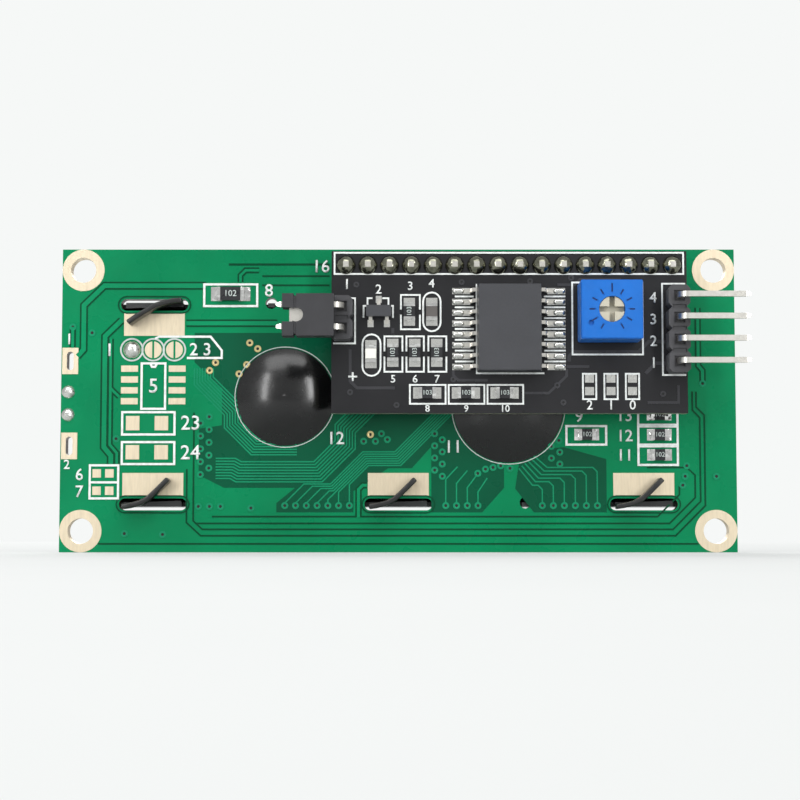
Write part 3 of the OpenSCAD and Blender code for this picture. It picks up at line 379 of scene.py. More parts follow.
def layDown(piece, face, lift):
    # from a drawing in millimetres to its place on the part
    where = faces[face]
    turn = math.pi if where["back"] else 0
    out = 1 if where["back"] else -1
    piece.scale = (mm, mm, mm)
    piece.rotation_euler = (math.pi / 2, 0, turn)
    piece.location = (0, where["y"] + out * lift * mm, 0)
    settled(piece)
    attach(piece, "module")


def wear(piece, look):
    piece.data.materials.clear()
    piece.data.materials.append(finish[look])


def joined(name, parts):
    onlySelect(*parts)
    if len(parts) > 1:
        bpy.ops.object.join()
    piece = bpy.context.view_layer.objects.active
    piece.name = name
    piece.data.name = name
    return piece


def twin(piece):
    # a copy with its own mesh
    copy = piece.copy()
    copy.data = piece.data.copy()
    bpy.context.collection.objects.link(copy)
    return copy


def leftOf(a, b):
    way = (b - a).normalized()
    return Vector((-way.y, way.x))


def mitres(points, closed=False):
    # at each point, the way to the side of a line of half width 1
    count = len(points)
    sides = []
    for i in range(count):
        before = points[i - 1] if i or closed else None
        after = points[(i + 1) % count] if i < count - 1 or closed else None
        if before is None:
            side = leftOf(points[i], after)
        elif after is None:
            side = leftOf(before, points[i])
        else:
            side = leftOf(before, points[i]) + leftOf(points[i], after)
            side = side / max(pen["sharpest"], side.length_squared / 2)
        sides.append(side)
    return sides


def swing(old, new, centre):
    # turns and stretches what is selected, so that the side old becomes the side new
    turn, grow = old.angle_signed(new), new.length / old.length
    if abs(turn) > pen["tiny"]:
        bpy.ops.transform.rotate(value=turn, orient_axis="Z", center_override=centre.to_3d())
    if abs(grow - 1) > pen["tiny"]:
        bpy.ops.transform.resize(value=(grow, grow, grow), center_override=centre.to_3d())


def strip(route, width, closed=False):
    # one flat strip along a route: an edge pulled from point to point and mitred at each corner
    points = [Vector(p) for p in route]
    sides = [side * width / 2 for side in mitres(points, closed)]
    if closed:
        points.append(points[0])
        sides.append(sides[0])
    bpy.ops.mesh.primitive_plane_add(size=2, location=(0, 0, 0))
    piece = bpy.context.object
    bpy.ops.object.mode_set(mode="EDIT")
    bpy.ops.mesh.select_mode(type="VERT")
    bpy.ops.mesh.select_all(action="DESELECT")
    bpy.ops.object.mode_set(mode="OBJECT")
    for vertex in piece.data.vertices:
        vertex.select = vertex.co.y > 0
    bpy.ops.object.mode_set(mode="EDIT")
    # the near edge alone is left, and it is laid across the start of the route
    bpy.ops.mesh.delete(type="VERT")
    bpy.ops.mesh.select_all(action="SELECT")
    bpy.ops.transform.translate(value=(0, 1, 0))
    swing(Vector((1, 0)), sides[0], Vector((0, 0)))
    bpy.ops.transform.translate(value=points[0].to_3d())
    for i in range(1, len(points)):
        pull = (points[i] - points[i - 1]).to_3d()
        bpy.ops.mesh.extrude_region_move(TRANSFORM_OT_translate={"value": pull})
        swing(sides[i - 1], sides[i], points[i])
    bpy.ops.object.mode_set(mode="OBJECT")
    return piece


def solid(piece, thickness):
    # a flat drawing raised to a thin closed solid
    onlySelect(piece)
    bpy.ops.object.mode_set(mode="EDIT")
    bpy.ops.mesh.select_mode(type="VERT")
    bpy.ops.mesh.select_all(action="SELECT")
    bpy.ops.mesh.remove_doubles(threshold=pen["seam"])
    bpy.ops.mesh.extrude_region_move(TRANSFORM_OT_translate={"value": (0, 0, thickness)})
    bpy.ops.mesh.select_all(action="SELECT")
    bpy.ops.mesh.normals_make_consistent(inside=False)
    bpy.ops.object.mode_set(mode="OBJECT")


def outlineFace(points):
    # a flat filled curve, made a mesh
    flat = bpy.data.curves.new("field", "CURVE")
    flat.dimensions = "2D"
    flat.fill_mode = "BOTH"
    line = flat.splines.new("POLY")
    line.points.add(len(points) - 1)
    for place, (x, y) in zip(line.points, points):
        place.co = (x, y, 0, 1)
    line.use_cyclic_u = True
    piece = bpy.data.objects.new("field", flat)
    bpy.context.collection.objects.link(piece)
    onlySelect(piece)
    bpy.ops.object.convert(target="MESH")
    return bpy.context.view_layer.objects.active


def drawn(name, face, parts, lift, thickness, look):
    for i, part in enumerate(parts):
        part.location.z += stagger["step"] * (i % stagger["parts"])
    piece = joined(name, parts)
    settled(piece)
    solid(piece, thickness)
    layDown(piece, face, lift)
    wear(piece, look)


def lines(name, face, routes, lift, look, extra=0.0, closed=False, thickness=films["ink"]):
    # routes: (width, points)
    parts = []
    for width, route in routes:
        spots = [(across(face, x), z) for x, z in route]
        parts.append(strip(spots, width + 2 * extra, closed))
    drawn(name, face, parts, lift, thickness, look)


def areas(name, face, outlines, lift, look):
    parts = [outlineFace([(across(face, x), z) for x, z in outline]) for outline in outlines]
    drawn(name, face, parts, lift, films["field"], look)


def digits(name, face, labels, lift, look, bold=0.02, turn=0.0):
    # plain numbers: (words, x, z, height)
    parts = []
    for words, x, z, height in labels:
        bpy.ops.object.text_add(location=(across(face, x), z, 0), rotation=(0, 0, turn))
        writing = bpy.context.object
        writing.data.body = words
        writing.data.size = height * pen["letter"]
        writing.data.align_x = "CENTER"
        writing.data.align_y = "CENTER"
        writing.data.offset = bold
        writing.data.resolution_u = pen["letterSteps"]
        bpy.ops.object.convert(target="MESH")
        parts.append(bpy.context.object)
    drawn(name, face, parts, lift, films["ink"], look)


def ringRoute(x, z, radius, steps=36):
    turns = [2 * math.pi * i / steps for i in range(steps)]
    return [(x + radius * math.cos(a), z + radius * math.sin(a)) for a in turns]


def boxRoute(left, top, right, bottom):
    return [(left, top), (right, top), (right, bottom), (left, bottom)]


def bundle(route, count, pitch):
    # parallel routes, nested at each corner
    points = [Vector(p) for p in route]
    sides = mitres(points)
    return [[tuple(p + side * pitch * i) for p, side in zip(points, sides)] for i in range(count)]


# a via under the lacquer is a tented barrel with a dimple in its middle, and the dimple is painted near
# black as the hole's painted shade
viaShape = {"radius": 0.42, "hole": 0.2, "rise": 0.022, "dimple": 0.014, "sides": 20,
            "slope": 0.9, "lip": 0.2}


def viasOn(name, face, places, ringLook, size=1.0):
    bpy.ops.mesh.primitive_circle_add(vertices=viaShape["sides"], radius=viaShape["radius"] * size,
                                      fill_type="NGON", location=(0, 0, 0))
    first = bpy.context.object
    first.data.materials.append(finish[ringLook])
    first.data.materials.append(finish["dark"])
    bpy.ops.object.mode_set(mode="EDIT")
    bpy.ops.mesh.select_mode(type="FACE")
    bpy.ops.mesh.select_all(action="SELECT")
    bpy.ops.mesh.extrude_region_move(TRANSFORM_OT_translate={"value": (0, 0, viaShape["rise"])})
    bpy.ops.mesh.inset(thickness=(viaShape["radius"] - viaShape["hole"]) * size * viaShape["slope"])
    bpy.ops.mesh.inset(thickness=viaShape["hole"] * size * viaShape["lip"])
    bpy.ops.transform.translate(value=(0, 0, -viaShape["dimple"]))
    # painted shade: the sunken middle takes the near-black finish
    first.active_material_index = 1
    bpy.ops.object.material_slot_assign()
    bpy.ops.mesh.select_all(action="SELECT")
    bpy.ops.mesh.normals_make_consistent(inside=False)
    bpy.ops.object.mode_set(mode="OBJECT")
    copies = [first] + [twin(first) for _ in places[1:]]
    for i, (copy, (x, z)) in enumerate(zip(copies, places)):
        copy.location = (across(face, x), z, stagger["step"] * (i % stagger["vias"]))
    piece = joined(name, copies)
    settled(piece)
    layDown(piece, face, levels["via"])


# six slots pass the bezel's tabs, which then turn over their lands
slots = {"xs": (-29, 0, 29), "upper": 11.35, "lower": -12.35, "halfWidth": 4, "halfHeight": 0.7,
         "rim": 0.3, "rimLine": 0.14}
tabShape = {
    "sheet": 0.6, "clip": 0.1, "lift": 0.06, "round": 0.16, "roundSteps": 3, "roundFrom": 60, "smooth": 50,
    "shellMerge": 0.000001, "shellSmooth": 20,
    # from the slot's middle, as seen from behind: right, up
    "upper": [(3.45, 0.36), (2.4, 0.3), (1.1, 0.0), (0.2, -0.32), (-0.8, -0.9), (-1.95, -1.6),
              (-2.95, -2.3)],
    "lower": [(-3.45, -0.3), (-2.6, -0.18), (-1.3, 0.14), (-0.4, 0.62), (0.45, 1.4), (1.3, 2.25),
              (2.0, 2.95)],
}


def bezelShell():
    # the pressed shell alone: its tabs are cut off just over the board
    shell = bpy.data.objects.new("bezel_shell", nodes["bezel"].data.copy())
    bpy.context.collection.objects.link(shell)
    onlySelect(shell)
    bpy.ops.object.mode_set(mode="EDIT")
    bpy.ops.mesh.select_all(action="SELECT")
    bpy.ops.mesh.remove_doubles(threshold=tabShape["shellMerge"])
    bpy.ops.mesh.bisect(plane_co=(0, boardBox[1].y + tabShape["clip"] * mm, 0), plane_no=(0, 1, 0),
                        clear_outer=True, use_fill=True)
    bpy.ops.object.mode_set(mode="OBJECT")
    # the flat faces are to stay flat and their grooves crisp
    bpy.ops.mesh.customdata_custom_splitnormals_clear()
    bpy.ops.object.shade_smooth_by_angle(angle=math.radians(tabShape["shellSmooth"]))
    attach(shell, "module")
    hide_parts("bezel")
    wear(shell, "bezel")


def turnedBlade(route):
    # a blade standing on the board: straight in its slot, then swung over the land
    blade = strip(route, tabShape["sheet"])
    solid(blade, (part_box("bezel")[1].y - boardBox[1].y) / mm - tabShape["lift"])
    soft = blade.modifiers.new("round", "BEVEL")
    soft.width = tabShape["round"]
    soft.segments = tabShape["roundSteps"]
    soft.limit_method = "ANGLE"
    soft.angle_limit = math.radians(tabShape["roundFrom"])
    bpy.ops.object.modifier_apply(modifier="round")
    bpy.ops.object.shade_smooth_by_angle(angle=math.radians(tabShape["smooth"]))
    return blade


bezelShell()
blades = {row: turnedBlade(tabShape[row]) for row in ("upper", "lower")}
for i, x in enumerate(slots["xs"]):
    for row, blade in blades.items():
        tab = twin(blade)
        tab.name = "tab_%s_%d" % (row, i + 1)
        tab.location = (across("boardBack", x), slots[row], 0)
        settled(tab)
        layDown(tab, "boardBack", tabShape["lift"])
        wear(tab, "tab")
for blade in blades.values():
    bpy.data.objects.remove(blade)
print("bezel and tabs made")

# copper under the lacquer of the board's back
backCopper = {
    # wide tracks: width, points
    "tracks": [
        (0.55, [(22.9, 13.65), (35, 13.65), (37.4, 11.3), (37.4, 6), (38.1, 5.2)]),
        (0.55, [(32.9, 9.5), (34.85, 7.6), (34.85, -5.6), (34, -6.6), (34, -7.7)]),
        (0.3, [(34.15, 7.3), (34.15, 1.4), (33.1, 0.4)]),
        (0.3, [(34.15, 1.4), (34.15, -5.3), (33.3, -6.3), (33.3, -7.7)]),
        (0.5, [(25.2, 9.15), (14.4, 9.15)]),
        (0.35, [(3.7, -10.1), (4.2, -10.1), (4.7, -10.6), (4.7, -13.9)]),
        (0.35, [(-35.6, 11), (-35.6, 4.1), (-36.1, 3.5), (-36.1, 2)]),
        (0.3, [(16.6, 15.5), (18.2, 15.5), (18.8, 14.9), (18.8, 14.1)]),
        (0.35, [(38.7, 8.7), (38.7, 6.2)]),
    ],
    "border": 0.2,
    # gaps between areas of copper
    "gaps": [
        (0.2, [(22, -13.8), (-30.6, -13.8), (-33.2, -11.2), (-33.2, -10.2)]),
        (0.2, [(24, -14.6), (-32, -14.6), (-35.07, -11.55), (-35.07, -8.9), (-34.1, -8), (-29.4, -8)]),
        (0.2, [(24.2, -1.5), (24.2, -14.3), (23.1, -15.3), (-32.4, -15.3), (-35.7, -12), (-35.7, -2.1),
               (-34.85, -1.2), (-34.85, 1)]),
        (0.2, [(25, -8.2), (25, -14.5), (23.3, -16.05), (-32.7, -16.05), (-36.25, -12.5),
               (-36.25, -1.8), (-35.3, -0.85), (-35.3, 1)]),
        (0.2, [(35.4, -17), (-35.4, -17)]),
        (0.2, [(16.2, 14.8), (8.2, 14.8)]),
        (0.2, [(16.2, 13.7), (8.2, 13.7)]),
        (0.25, [(20.2, 16.2), (8.2, 16.2)]),
    ],
    "thin": 0.16,
}
rightBundle = bundle([(24.2, 3.8), (24.2, 1.8), (20.6, -1.8), (20.6, -3.3), (17.4, -6.5), (12, -6.5)],
                     8, -0.32)
middleBundle = bundle([(21.6, -9.3), (19.9, -9.3), (19.2, -9.7), (9.0, -9.7), (5.1, -5.8), (5.1, -3.9),
                       (3.6, -2.4), (1.5, -0.3)], 8, -0.34)
# seven tracks rise from a row of vias, nested at each bend
fan = {"first": 13.4, "pitch": 1.27, "count": 7, "vias": -12.5, "stub": 0.3, "level": -9.95, "bend": 8.0,
       "upper": -6.15, "upperBend": 0.4, "end": -1.2, "step": 0.27, "mitre": 0.414}
controllerVias = [(fan["first"] - fan["pitch"] * i, fan["vias"]) for i in range(fan["count"])]
controllerFan = []
for i, (x, foot) in enumerate(controllerVias):
    step = fan["step"] * i
    level, upper = fan["level"] - step, fan["upper"] - step
    bend, upperBend = fan["bend"] - fan["mitre"] * step, fan["upperBend"] - fan["mitre"] * step
    lean = level - foot - fan["stub"]
    if x - bend > lean:
        start = [(x, level - lean), (x - lean, level), (bend, level)]
    else:
        start = [(x, level - (x - bend))]
    controllerFan.append([(x, foot)] + start + [
        (bend - (upper - level), upper), (upperBend, upper),
        (upperBend - (fan["end"] - upper), fan["end"])])
leftVias = [(-5.6 - 1.27 * i, fan["vias"]) for i in range(4)]
driverLeft = [[(x, foot), (x, -9.4 - 0.5 * i), (x - 1.4 + 0.1 * i, -7.9 - 0.45 * i)]
              for i, (x, foot) in enumerate(leftVias)]
rightVias = [(-23.5 + 1.3 * i, fan["vias"]) for i in range(6)]
driverRight = [[(x, foot), (x, -8.5 - 0.42 * i), (x + 0.5, -8 - 0.42 * i), (-17.6 + 0.35 * i, -8 - 0.42 * i),
                (-16 + 0.35 * i, -6.6 - 0.3 * i)] for i, (x, foot) in enumerate(rightVias)]

backFields = [
    [(24.2, 4.5), (20.9, 1.4), (20.9, -3), (23.6, -3.4), (23.6, -8.9), (20.6, -10.4), (12.2, -10.4),
     (14.4, -12.2), (14.4, -13.3), (5.3, -13.3), (5.3, -10.8), (1.2, -8.1), (-1.6, -8.1), (-6, -3.2),
     (-6, 8), (24.2, 8)],
    [(-3.9, -9.4), (-3.9, -13.3), (-9.9, -13.3), (-12.5, -10.4), (-12.5, -6), (-6.5, -1.6), (-3.9, -1.6)],
    [(-16, -13.3), (-24.6, -13.3), (-24.6, -7), (-19.6, -5.6), (-14.5, -6), (-13.8, -10.5)],
]


def slotRoute(x, z, steps=9):
    # a stadium round a slot
    turns = [-math.pi / 2 + math.pi * i / (steps - 1) for i in range(steps)]
    radius = slots["halfHeight"] + slots["rim"]
    side = slots["halfWidth"] - slots["halfHeight"]
    right = [(x + side + radius * math.cos(a), z + radius * math.sin(a)) for a in turns]
    left = [(x - side - radius * math.cos(a), z - radius * math.sin(a)) for a in turns]
    return right + left


slotRims = [(slots["rimLine"], slotRoute(x, z))
            for x in slots["xs"] for z in (slots["upper"], slots["lower"])]
lines("back_slot_rims", "boardBack", slotRims, levels["ink"], "bareGreen", closed=True)

areas("back_fields", "boardBack", backFields, levels["field"], "fieldGreen")
lines("back_gaps", "boardBack", backCopper["gaps"], levels["border"], "bareGreen")
lines("back_track_borders", "boardBack", backCopper["tracks"], levels["trackBorder"], "bareGreen",
      backCopper["border"], thickness=films["border"])
lines("back_tracks", "boardBack", backCopper["tracks"], levels["line"], "lineGreen",
      thickness=films["line"])
thinRoutes = rightBundle + middleBundle + controllerFan + driverLeft + driverRight
lines("back_thin_tracks", "boardBack", [(backCopper["thin"], route) for route in thinRoutes],
      levels["border"], "thinGreen", thickness=films["thin"])

lacqueredVias = [(38.7, 8.7), (36.4, 8), (33.4, -4.6), (32.3, -15.8), (27.8, -15.9), (17.4, -12.8),
                 (23.6, -12.6), (22.3, -12.6), (21, -12.6), (4.1, -4.9), (2.7, -4.9), (2, -4), (1.3, -4.7),
                 (-9.4, -8.7), (-10.3, -8.2), (-11.2, -8), (-12.1, -7.8), (-13.2, -8.1),
                 (-19, -4.8), (-18.1, -5.5), (-19.1, -6.2), (-18.1, -6.9), (-19.1, -7.6),
                 (-37.6, -9.05), (-34.1, -7.8), (-33.9, -9.05), (-33.6, -10.1), (-36.1, 1.97)]
lacqueredVias += [(22.4 + (i % 2), -2 - 0.76 * i) for i in range(10)]
lacqueredVias += [(-4.3 - 0.9 * (i % 2), -4 - 0.72 * i) for i in range(8)]
lacqueredVias += controllerVias + leftVias + rightVias
viasOn("back_vias", "boardBack", lacqueredVias, "thinGreen")
goldVias = [(17.65, 6.8), (16.7, 6.1), (18, 4.2), (18.9, 3.1), (21.7, 4.45), (22.4, 3.5), (3.3, -4.1)]
viasOn("back_ringed_vias", "boardBack", goldVias, "ring")
print("board back: copper drawn")

# ink on the board's back: boxes round the parts, rings round the jumpers and domes, numbers
inkShape = {"line": 0.26, "thin": 0.2, "hair": 0.1, "ring": 1.3, "ringUp": 5.98, "domeRim": 0.16,
            "domeSteps": 72}
backRings = [(inkShape["thin"], ringRoute(x, inkShape["ringUp"], inkShape["ring"]))
             for x in (31.65, 29.12, 26.6)]
for low, high in (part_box("controller_dome"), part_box("driver_dome")):
    middle = (low + high) / 2 / mm
    radius = (high.x - low.x) / 2 / mm + inkShape["domeRim"]
    backRings.append((inkShape["hair"], ringRoute(middle.x, middle.z, radius, inkShape["domeSteps"])))
backBoxes = [boxRoute(23.1, 13.8, 16.8, 11.2), boxRoute(32.7, -1.45, 26.5, -4.1),
             boxRoute(32.7, -5, 26.5, -7.6), boxRoute(36.45, -7.75, 33.1, -11.65),
             boxRoute(30.45, 4.35, 27.65, -1.05), boxRoute(-19.9, -3.1, -24.6, -5.3),
             boxRoute(-28.4, -0.6, -33.06, -2.95), boxRoute(-28.4, -3.15, -33.06, -5.3),
             boxRoute(-28.4, -5.5, -33.06, -7.7)]
backStrokes = [[(36.45, -9.76), (33.1, -9.76)], [(29.45, 4.35), (29.25, 3.95), (28.85, 3.95), (28.65, 4.35)],
               [(28.9, 7.3), (28.4, 7.54), (22.3, 7.54), (20.97, 5.9), (20.97, 5), (25.1, 5)]]
lines("back_ink_boxes", "boardBack", [(inkShape["line"], route) for route in backBoxes],
      levels["ink"], "whiteInk", closed=True)
lines("back_ink_rings", "boardBack", backRings, levels["ink"], "greyInk", closed=True)
lines("back_ink_strokes", "boardBack", [(inkShape["line"], route) for route in backStrokes],
      levels["ink"], "whiteInk")
backNumbers = [("1", 39.1, 7.2, 1.3), ("2", 39.2, -7.7, 1.1), ("8", 15.4, 13.0, 1.5),
               ("16", 9.2, 15.9, 1.5), ("23", 24.6, -2.8, 1.7), ("24", 24.6, -6.3, 1.7),
               ("5", 29.05, 1.6, 1.7), ("6", 37.7, -8.9, 1.4), ("7", 37.7, -10.9, 1.4),
               ("12", 7.4, -4.6, 1.5), ("11", -6.5, -5.6, 1.5), ("9", -21.4, -2.0, 1.4),
               ("13", -26.8, -1.9, 1.4), ("12", -26.8, -4.3, 1.4), ("11", -26.8, -6.6, 1.4),
               ("1", 34.3, 5.9, 1.5), ("2", 24.3, 5.95, 1.5), ("3", 22.7, 5.95, 1.5)]
digits("back_numbers", "boardBack", backNumbers, levels["ink"], "whiteInk")
print("board back: ink drawn")

# the adapter's ink, then its faint tracks and vias
pinXs = (-22.25, -24.74, -27.24)
adapterBoxes = [boxRoute(7.45, 16.95, -33.3, 14.45), boxRoute(-20.3, 13.45, -28.5, 5.0)]
adapterBoxes += [boxRoute(left, 1.44, left - 4.15, -0.76) for left in (-1.35, -5.86, -10.37)]
adapterBoxes += [boxRoute(x + 0.77, 2.74, x - 0.77, -0.22) for x in pinXs]
adapterStrokes = [
    [(7.6, 6.3), (5.04, 6.3), (5.04, 11.6), (7.6, 11.6)],
    [(3.01, 11.6), (3.59, 11.6), (3.59, 10.7)], [(1.85, 11.6), (1.15, 11.6), (1.15, 10.7)],
    [(3.0, 10.7), (4.05, 10.7), (4.05, 9.3)], [(1.85, 10.7), (0.62, 10.7), (0.62, 9.3)],
    [(-9.14, 13.28), (-9.14, 2.8), (-17, 2.8)],
    [(-33.5, 13.3), (-30.8, 13.3), (-30.8, 2.6), (-33.5, 2.6)],
]
for left, right, top, bottom in ((-0.31, -2.52, 11.98, 7.95), (1.61, -0.48, 7.12, 2.98),
                                 (-0.95, -2.98, 7.12, 2.98), (-3.51, -5.6, 7.12, 2.98)):
    high, low = (top + bottom) / 2 + 0.3, (top + bottom) / 2 - 0.3
    adapterStrokes += [[(left, high), (left, top), (right, top), (right, high)],
                       [(left, low), (left, bottom), (right, bottom), (right, low)]]
# short dashes between the expander's leads
dashes = {"middle": 7.99, "pitch": 1.27, "reach": 3, "left": (-6.6, -8.8), "right": (-17.0, -19.5)}
for i in range(dashes["reach"], -dashes["reach"] - 1, -1):
    z = dashes["middle"] + dashes["pitch"] * i
    adapterStrokes += [[(x, z) for x in dashes["left"]], [(x, z) for x in dashes["right"]]]


def capsuleRoute(left, top, right, bottom, steps=9):
    # round ends above and below
    middle, radius = (left + right) / 2, (left - right) / 2
    turns = [math.pi * i / (steps - 1) for i in range(steps)]
    crown = [(middle + radius * math.cos(a), top - radius + radius * math.sin(a)) for a in turns]
    foot = [(middle - radius * math.cos(a), bottom + radius - radius * math.sin(a)) for a in turns]
    return crown + foot


adapterRounds = [capsuleRoute(-2.9, 12.28, -4.93, 7.72), capsuleRoute(4.17, 7.36, 2.07, 2.5)]
adapterClosed = [(inkShape["thin"], route) for route in adapterBoxes + adapterRounds]
lines("adapter_ink_boxes", "adapterBack", adapterClosed, levels["ink"], "whiteInk",
      closed=True)
lines("adapter_ink_strokes", "adapterBack", [(inkShape["thin"], route) for route in adapterStrokes],
      levels["ink"], "whiteInk")
adapterNumbers = [(str(4 - i), -29.75, 11.61 - 2.54 * i, 1.25) for i in range(4)]
adapterNumbers += [(str(2 - i), pinXs[i], -0.95, 1.1) for i in range(3)]
adapterNumbers += [("1", 6.0, 13.2, 1.2), ("2", 2.3, 12.6, 1.1), ("3", -1.4, 13.0, 1.0),
                   ("4", -3.9, 13.3, 1.0), ("5", 0.6, 2.1, 0.9), ("6", -1.95, 2.1, 0.9),
                   ("7", -4.5, 2.1, 0.9), ("8", -3.4, -1.35, 0.8), ("9", -7.9, -1.35, 0.8),
                   ("10", -12.4, -1.35, 0.8), ("+", 5.3, 2.3, 1.5)]
digits("adapter_numbers", "adapterBack", adapterNumbers, levels["ink"], "whiteInk")

adapterTracks = [
    (0.4, [(-31.2, 6.53), (-29.2, 6.53), (-28.0, 5.3), (-20.4, 5.3), (-19.9, 4.8), (-19.9, 4.2)]),
    (0.4, [(-31.2, 3.99), (-30, 3.99), (-28.8, 2.8)]), (0.3, [(-22.25, 3.6), (-19.6, 3.6)]),
    (0.3, [(-10.4, 2.0), (-7.0, 2.0), (-6.4, 2.6), (-6.4, 3.2)]),
    (0.3, [(-14.6, 0.5), (-17.5, 0.5), (-19.6, 2.5), (-19.6, 3.3)]),
    (0.35, [(0.64, 8.1), (0.64, 7.5)]), (0.35, [(5.6, 5.6), (5.6, 1.9), (4.8, 1.1), (0.4, 1.1)]),
    (0.3, [(-18.6, 13.2), (-20.6, 13.2), (-21.2, 13.8), (-26, 13.8)]),
    (0.3, [(-32.6, 1.4), (-32.6, -0.6), (-29, -0.6)]),
]
lines("adapter_tracks", "adapterBack", adapterTracks, levels["field"], "adapterLine",
      thickness=films["faint"])
adapterVias = [(-18.5, 1.4), (-19.2, -0.6), (-6.4, 2.1), (0.2, -0.9), (5.6, 0.6), (-30.8, 0.4),
               (-20.2, 14.0), (-15.4, 13.6), (-7.4, 13.5), (4.9, 13.2)]
viasOn("adapter_vias", "adapterBack", adapterVias, "adapterLine", size=0.85)

# the trimmer's scale: painted shade in dark blue at the bottom of its marks
dial = {"inner": 2.0, "outer": 2.72, "long": 2.95, "width": 0.17, "depth": 0.085, "end": 150, "every": 30}
low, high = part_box("trimmer_rotor")
middle = (low + high) / 2 / mm
faces["trimmerTop"] = {"y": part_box("trimmer_housing")[1].y, "back": True}
dialMarks = []
for turn in range(-dial["end"], dial["end"] + 1, dial["every"]):
    a = math.radians(turn)
    outer = dial["outer"] if turn else dial["long"]
    mark = [(middle.x + r * math.sin(a), middle.z + r * math.cos(a)) for r in (dial["inner"], outer)]
    dialMarks.append((dial["width"], mark))
lines("trimmer_scale", "trimmerTop", dialMarks, -dial["depth"], "paintedShadeBlue")

# value codes on the small resistors are plain digits
chipMark = {"adapter": "103", "board": "102", "share": 0.46, "lift": 0.002, "bold": 0.008}
chips = [name for name in nodes if "_resistor_" in name and not name.endswith("ends")]
print("adapter drawn; resistors to mark:", len(chips))
for name in chips:
    low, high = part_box(name)
    middle, span = (low + high) / 2 / mm, (high - low) / mm
    faces[name] = {"y": high.y, "back": True}
    onAdapter = name.startswith("adapter")
    code = chipMark["adapter"] if onAdapter else chipMark["board"]
    upright = math.pi / 2 if onAdapter and span.x > span.z else 0.0
    label = (code, middle.x, middle.z, chipMark["share"] * min(span.x, span.z))
    digits(name + "_mark", name, [label], chipMark["lift"], "greyInk",
           chipMark["bold"], upright)

# the front: one number under each pin, and a few tracks
pinNumbers = {"count": 16, "halfPin": 0.32, "up": 13.0, "height": 1.05}
low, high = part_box("header_pins")
pinFrom, pinTo = low.x / mm + pinNumbers["halfPin"], high.x / mm - pinNumbers["halfPin"]
pinStep = (pinTo - pinFrom) / (pinNumbers["count"] - 1)
frontNumbers = [(str(i + 1), pinFrom + pinStep * i, pinNumbers["up"], pinNumbers["height"])
                for i in range(pinNumbers["count"])]
digits("front_numbers", "boardFront", frontNumbers, levels["ink"], "whiteInk")
frontTracks = [
    (0.55, [(15.1, 15.7), (31.5, 15.7), (34.6, 12.6)]),
    (0.5, [(7.5, 13.5), (32.4, 13.5), (33.5, 12.4)]),
    (0.5, [(21.3, -14.0), (32.9, -14.0), (34.5, -12.4)]),
    (0.5, [(22.4, -14.9), (33.2, -14.9), (35.4, -12.7)]),
    (0.5, [(-35.6, 5.2), (-37.25, 3.6), (-37.25, -7.1), (-35.6, -8.7)]),
]
lines("front_track_borders", "boardFront", frontTracks, levels["border"], "bareGreen",
      backCopper["border"])
lines("front_tracks", "boardFront", frontTracks, levels["line"], "lineGreen")
frontVias = [(15.1, 15.7), (21.3, -14.0), (22.4, -14.9), (27.7, -16.1), (32.2, -16.1), (17.2, -13.4),
             (-37.8, 8.3), (-37.5, -9.2), (38.9, 8.7), (-20.1, -16.3), (2.6, -14.6), (-31.4, 11.9)]
viasOn("front_vias", "boardFront", frontVias, "lineGreen")
print("board front drawn")

# metres, but the camera's own place is in millimetres
room = {
    "floor": boardBox[0].z - 0.03 * mm, "across": 6, "pale": tone(246, 248, 247), "fill": 0.24, "gloss": 0.5,
    "floorColours": (tone(206, 209, 208), tone(212, 214, 213)), "fadeFrom": 0.06, "fadeTo": 0.5,
    "fadeStart": 0.45, "target": (-0.2, 1.6, 0.0), "distance": 215.0, "elevation": -4.3, "lens": 81.6,
    # name: place, size, power
    "lamps": {
        "boxLeft": ((0.42, 0.62, 0.22), (0.1, 0.55), 2.4),
        "boxRight": ((-0.42, 0.62, 0.22), (0.1, 0.55), 2.4),
        "boxOver": ((0, 0.45, 0.7), (0.9, 0.35), 3.6),
        "boxFront": ((0.2, -0.7, 0.45), (0.8, 0.5), 7.0),
    },
}

bpy.ops.mesh.primitive_plane_add(size=room["across"], location=(0, 0, room["floor"]))
floor = bpy.context.object
floor.name = "floor"
paint = Paint("paleFloor", Roughness=0.85, Specular_IOR_Level=0.1)
paint.feed("Base Color", paint.mix(paint.noise(40), *room["floorColours"]))
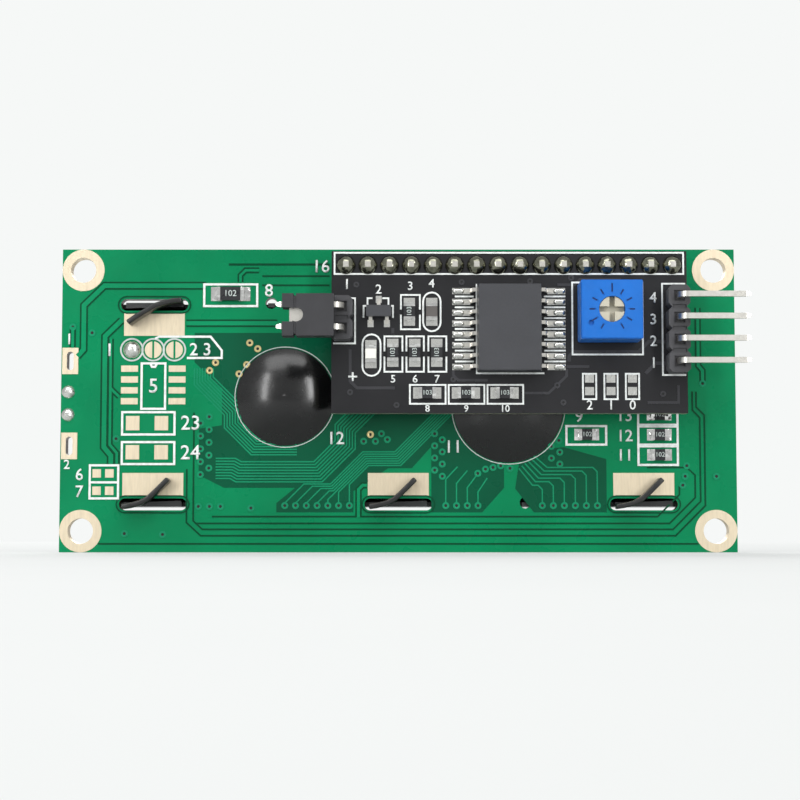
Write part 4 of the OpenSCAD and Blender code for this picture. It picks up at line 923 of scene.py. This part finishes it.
# away from the part the floor goes over to the backdrop's own colour, and keeps its shadow near it
reach = paint.node("ShaderNodeVectorMath", {"operation": "LENGTH"}, {0: paint.spot}, 1)
fade = paint.between(reach, room["fadeFrom"], room["fadeTo"], room["fadeStart"], 1.0)
fade = fade * paint.node("ShaderNodeLightPath", {}, {}, "Is Camera Ray")
backdrop = paint.node("ShaderNodeEmission", {}, {"Color": room["pale"]})
surface = Wire(paint, paint.shader.outputs[0])
faded = paint.node("ShaderNodeMixShader", {}, {0: fade, 1: surface, 2: backdrop})
paint.plug(paint.tree.nodes["Material Output"].inputs[0], faded)
floor.data.materials.append(paint.material)

world = bpy.data.worlds.new("studio")
bpy.context.scene.world = world
world.use_nodes = True
sky = Bench(world.node_tree)
sky.tree.nodes.remove(sky.tree.nodes["Background"])
plain = sky.node("ShaderNodeBackground", {}, {"Color": (1, 1, 1, 1), "Strength": room["fill"]})
seen = sky.node("ShaderNodeBackground", {}, {"Color": room["pale"]})
# the camera and what is seen through glass meet the pale backdrop, and gloss meets it at half strength
camera, glossy, through = [sky.node("ShaderNodeLightPath", {}, {}, ray) for ray in
                           ("Is Camera Ray", "Is Glossy Ray", "Is Transmission Ray")]
share = (glossy * room["gloss"]).most(camera).most(through)
sky.plug(sky.tree.nodes["World Output"].inputs[0],
         sky.node("ShaderNodeMixShader", {}, {0: share, 1: plain, 2: seen}))


def facing(place, target):
    return (Vector(target) - Vector(place)).to_track_quat("-Z", "Y").to_euler()


for name, (place, size, power) in room["lamps"].items():
    bpy.ops.object.light_add(type="AREA", location=place, rotation=facing(place, (0, 0, 0)))
    lamp = bpy.context.object
    lamp.name = name
    lamp.data.shape = "RECTANGLE"
    lamp.data.size, lamp.data.size_y = size
    lamp.data.energy = power

rise = math.radians(room["elevation"])
target = Vector(room["target"]) * mm
eye = target + Vector((0, math.cos(rise), math.sin(rise))) * room["distance"] * mm
bpy.ops.object.camera_add(location=eye, rotation=facing(eye, target))
viewer = bpy.context.object
viewer.data.lens = room["lens"]
viewer.data.clip_start = 0.01
bpy.context.scene.camera = viewer
bpy.context.scene.view_settings.view_transform = "Standard"
print("room lit")
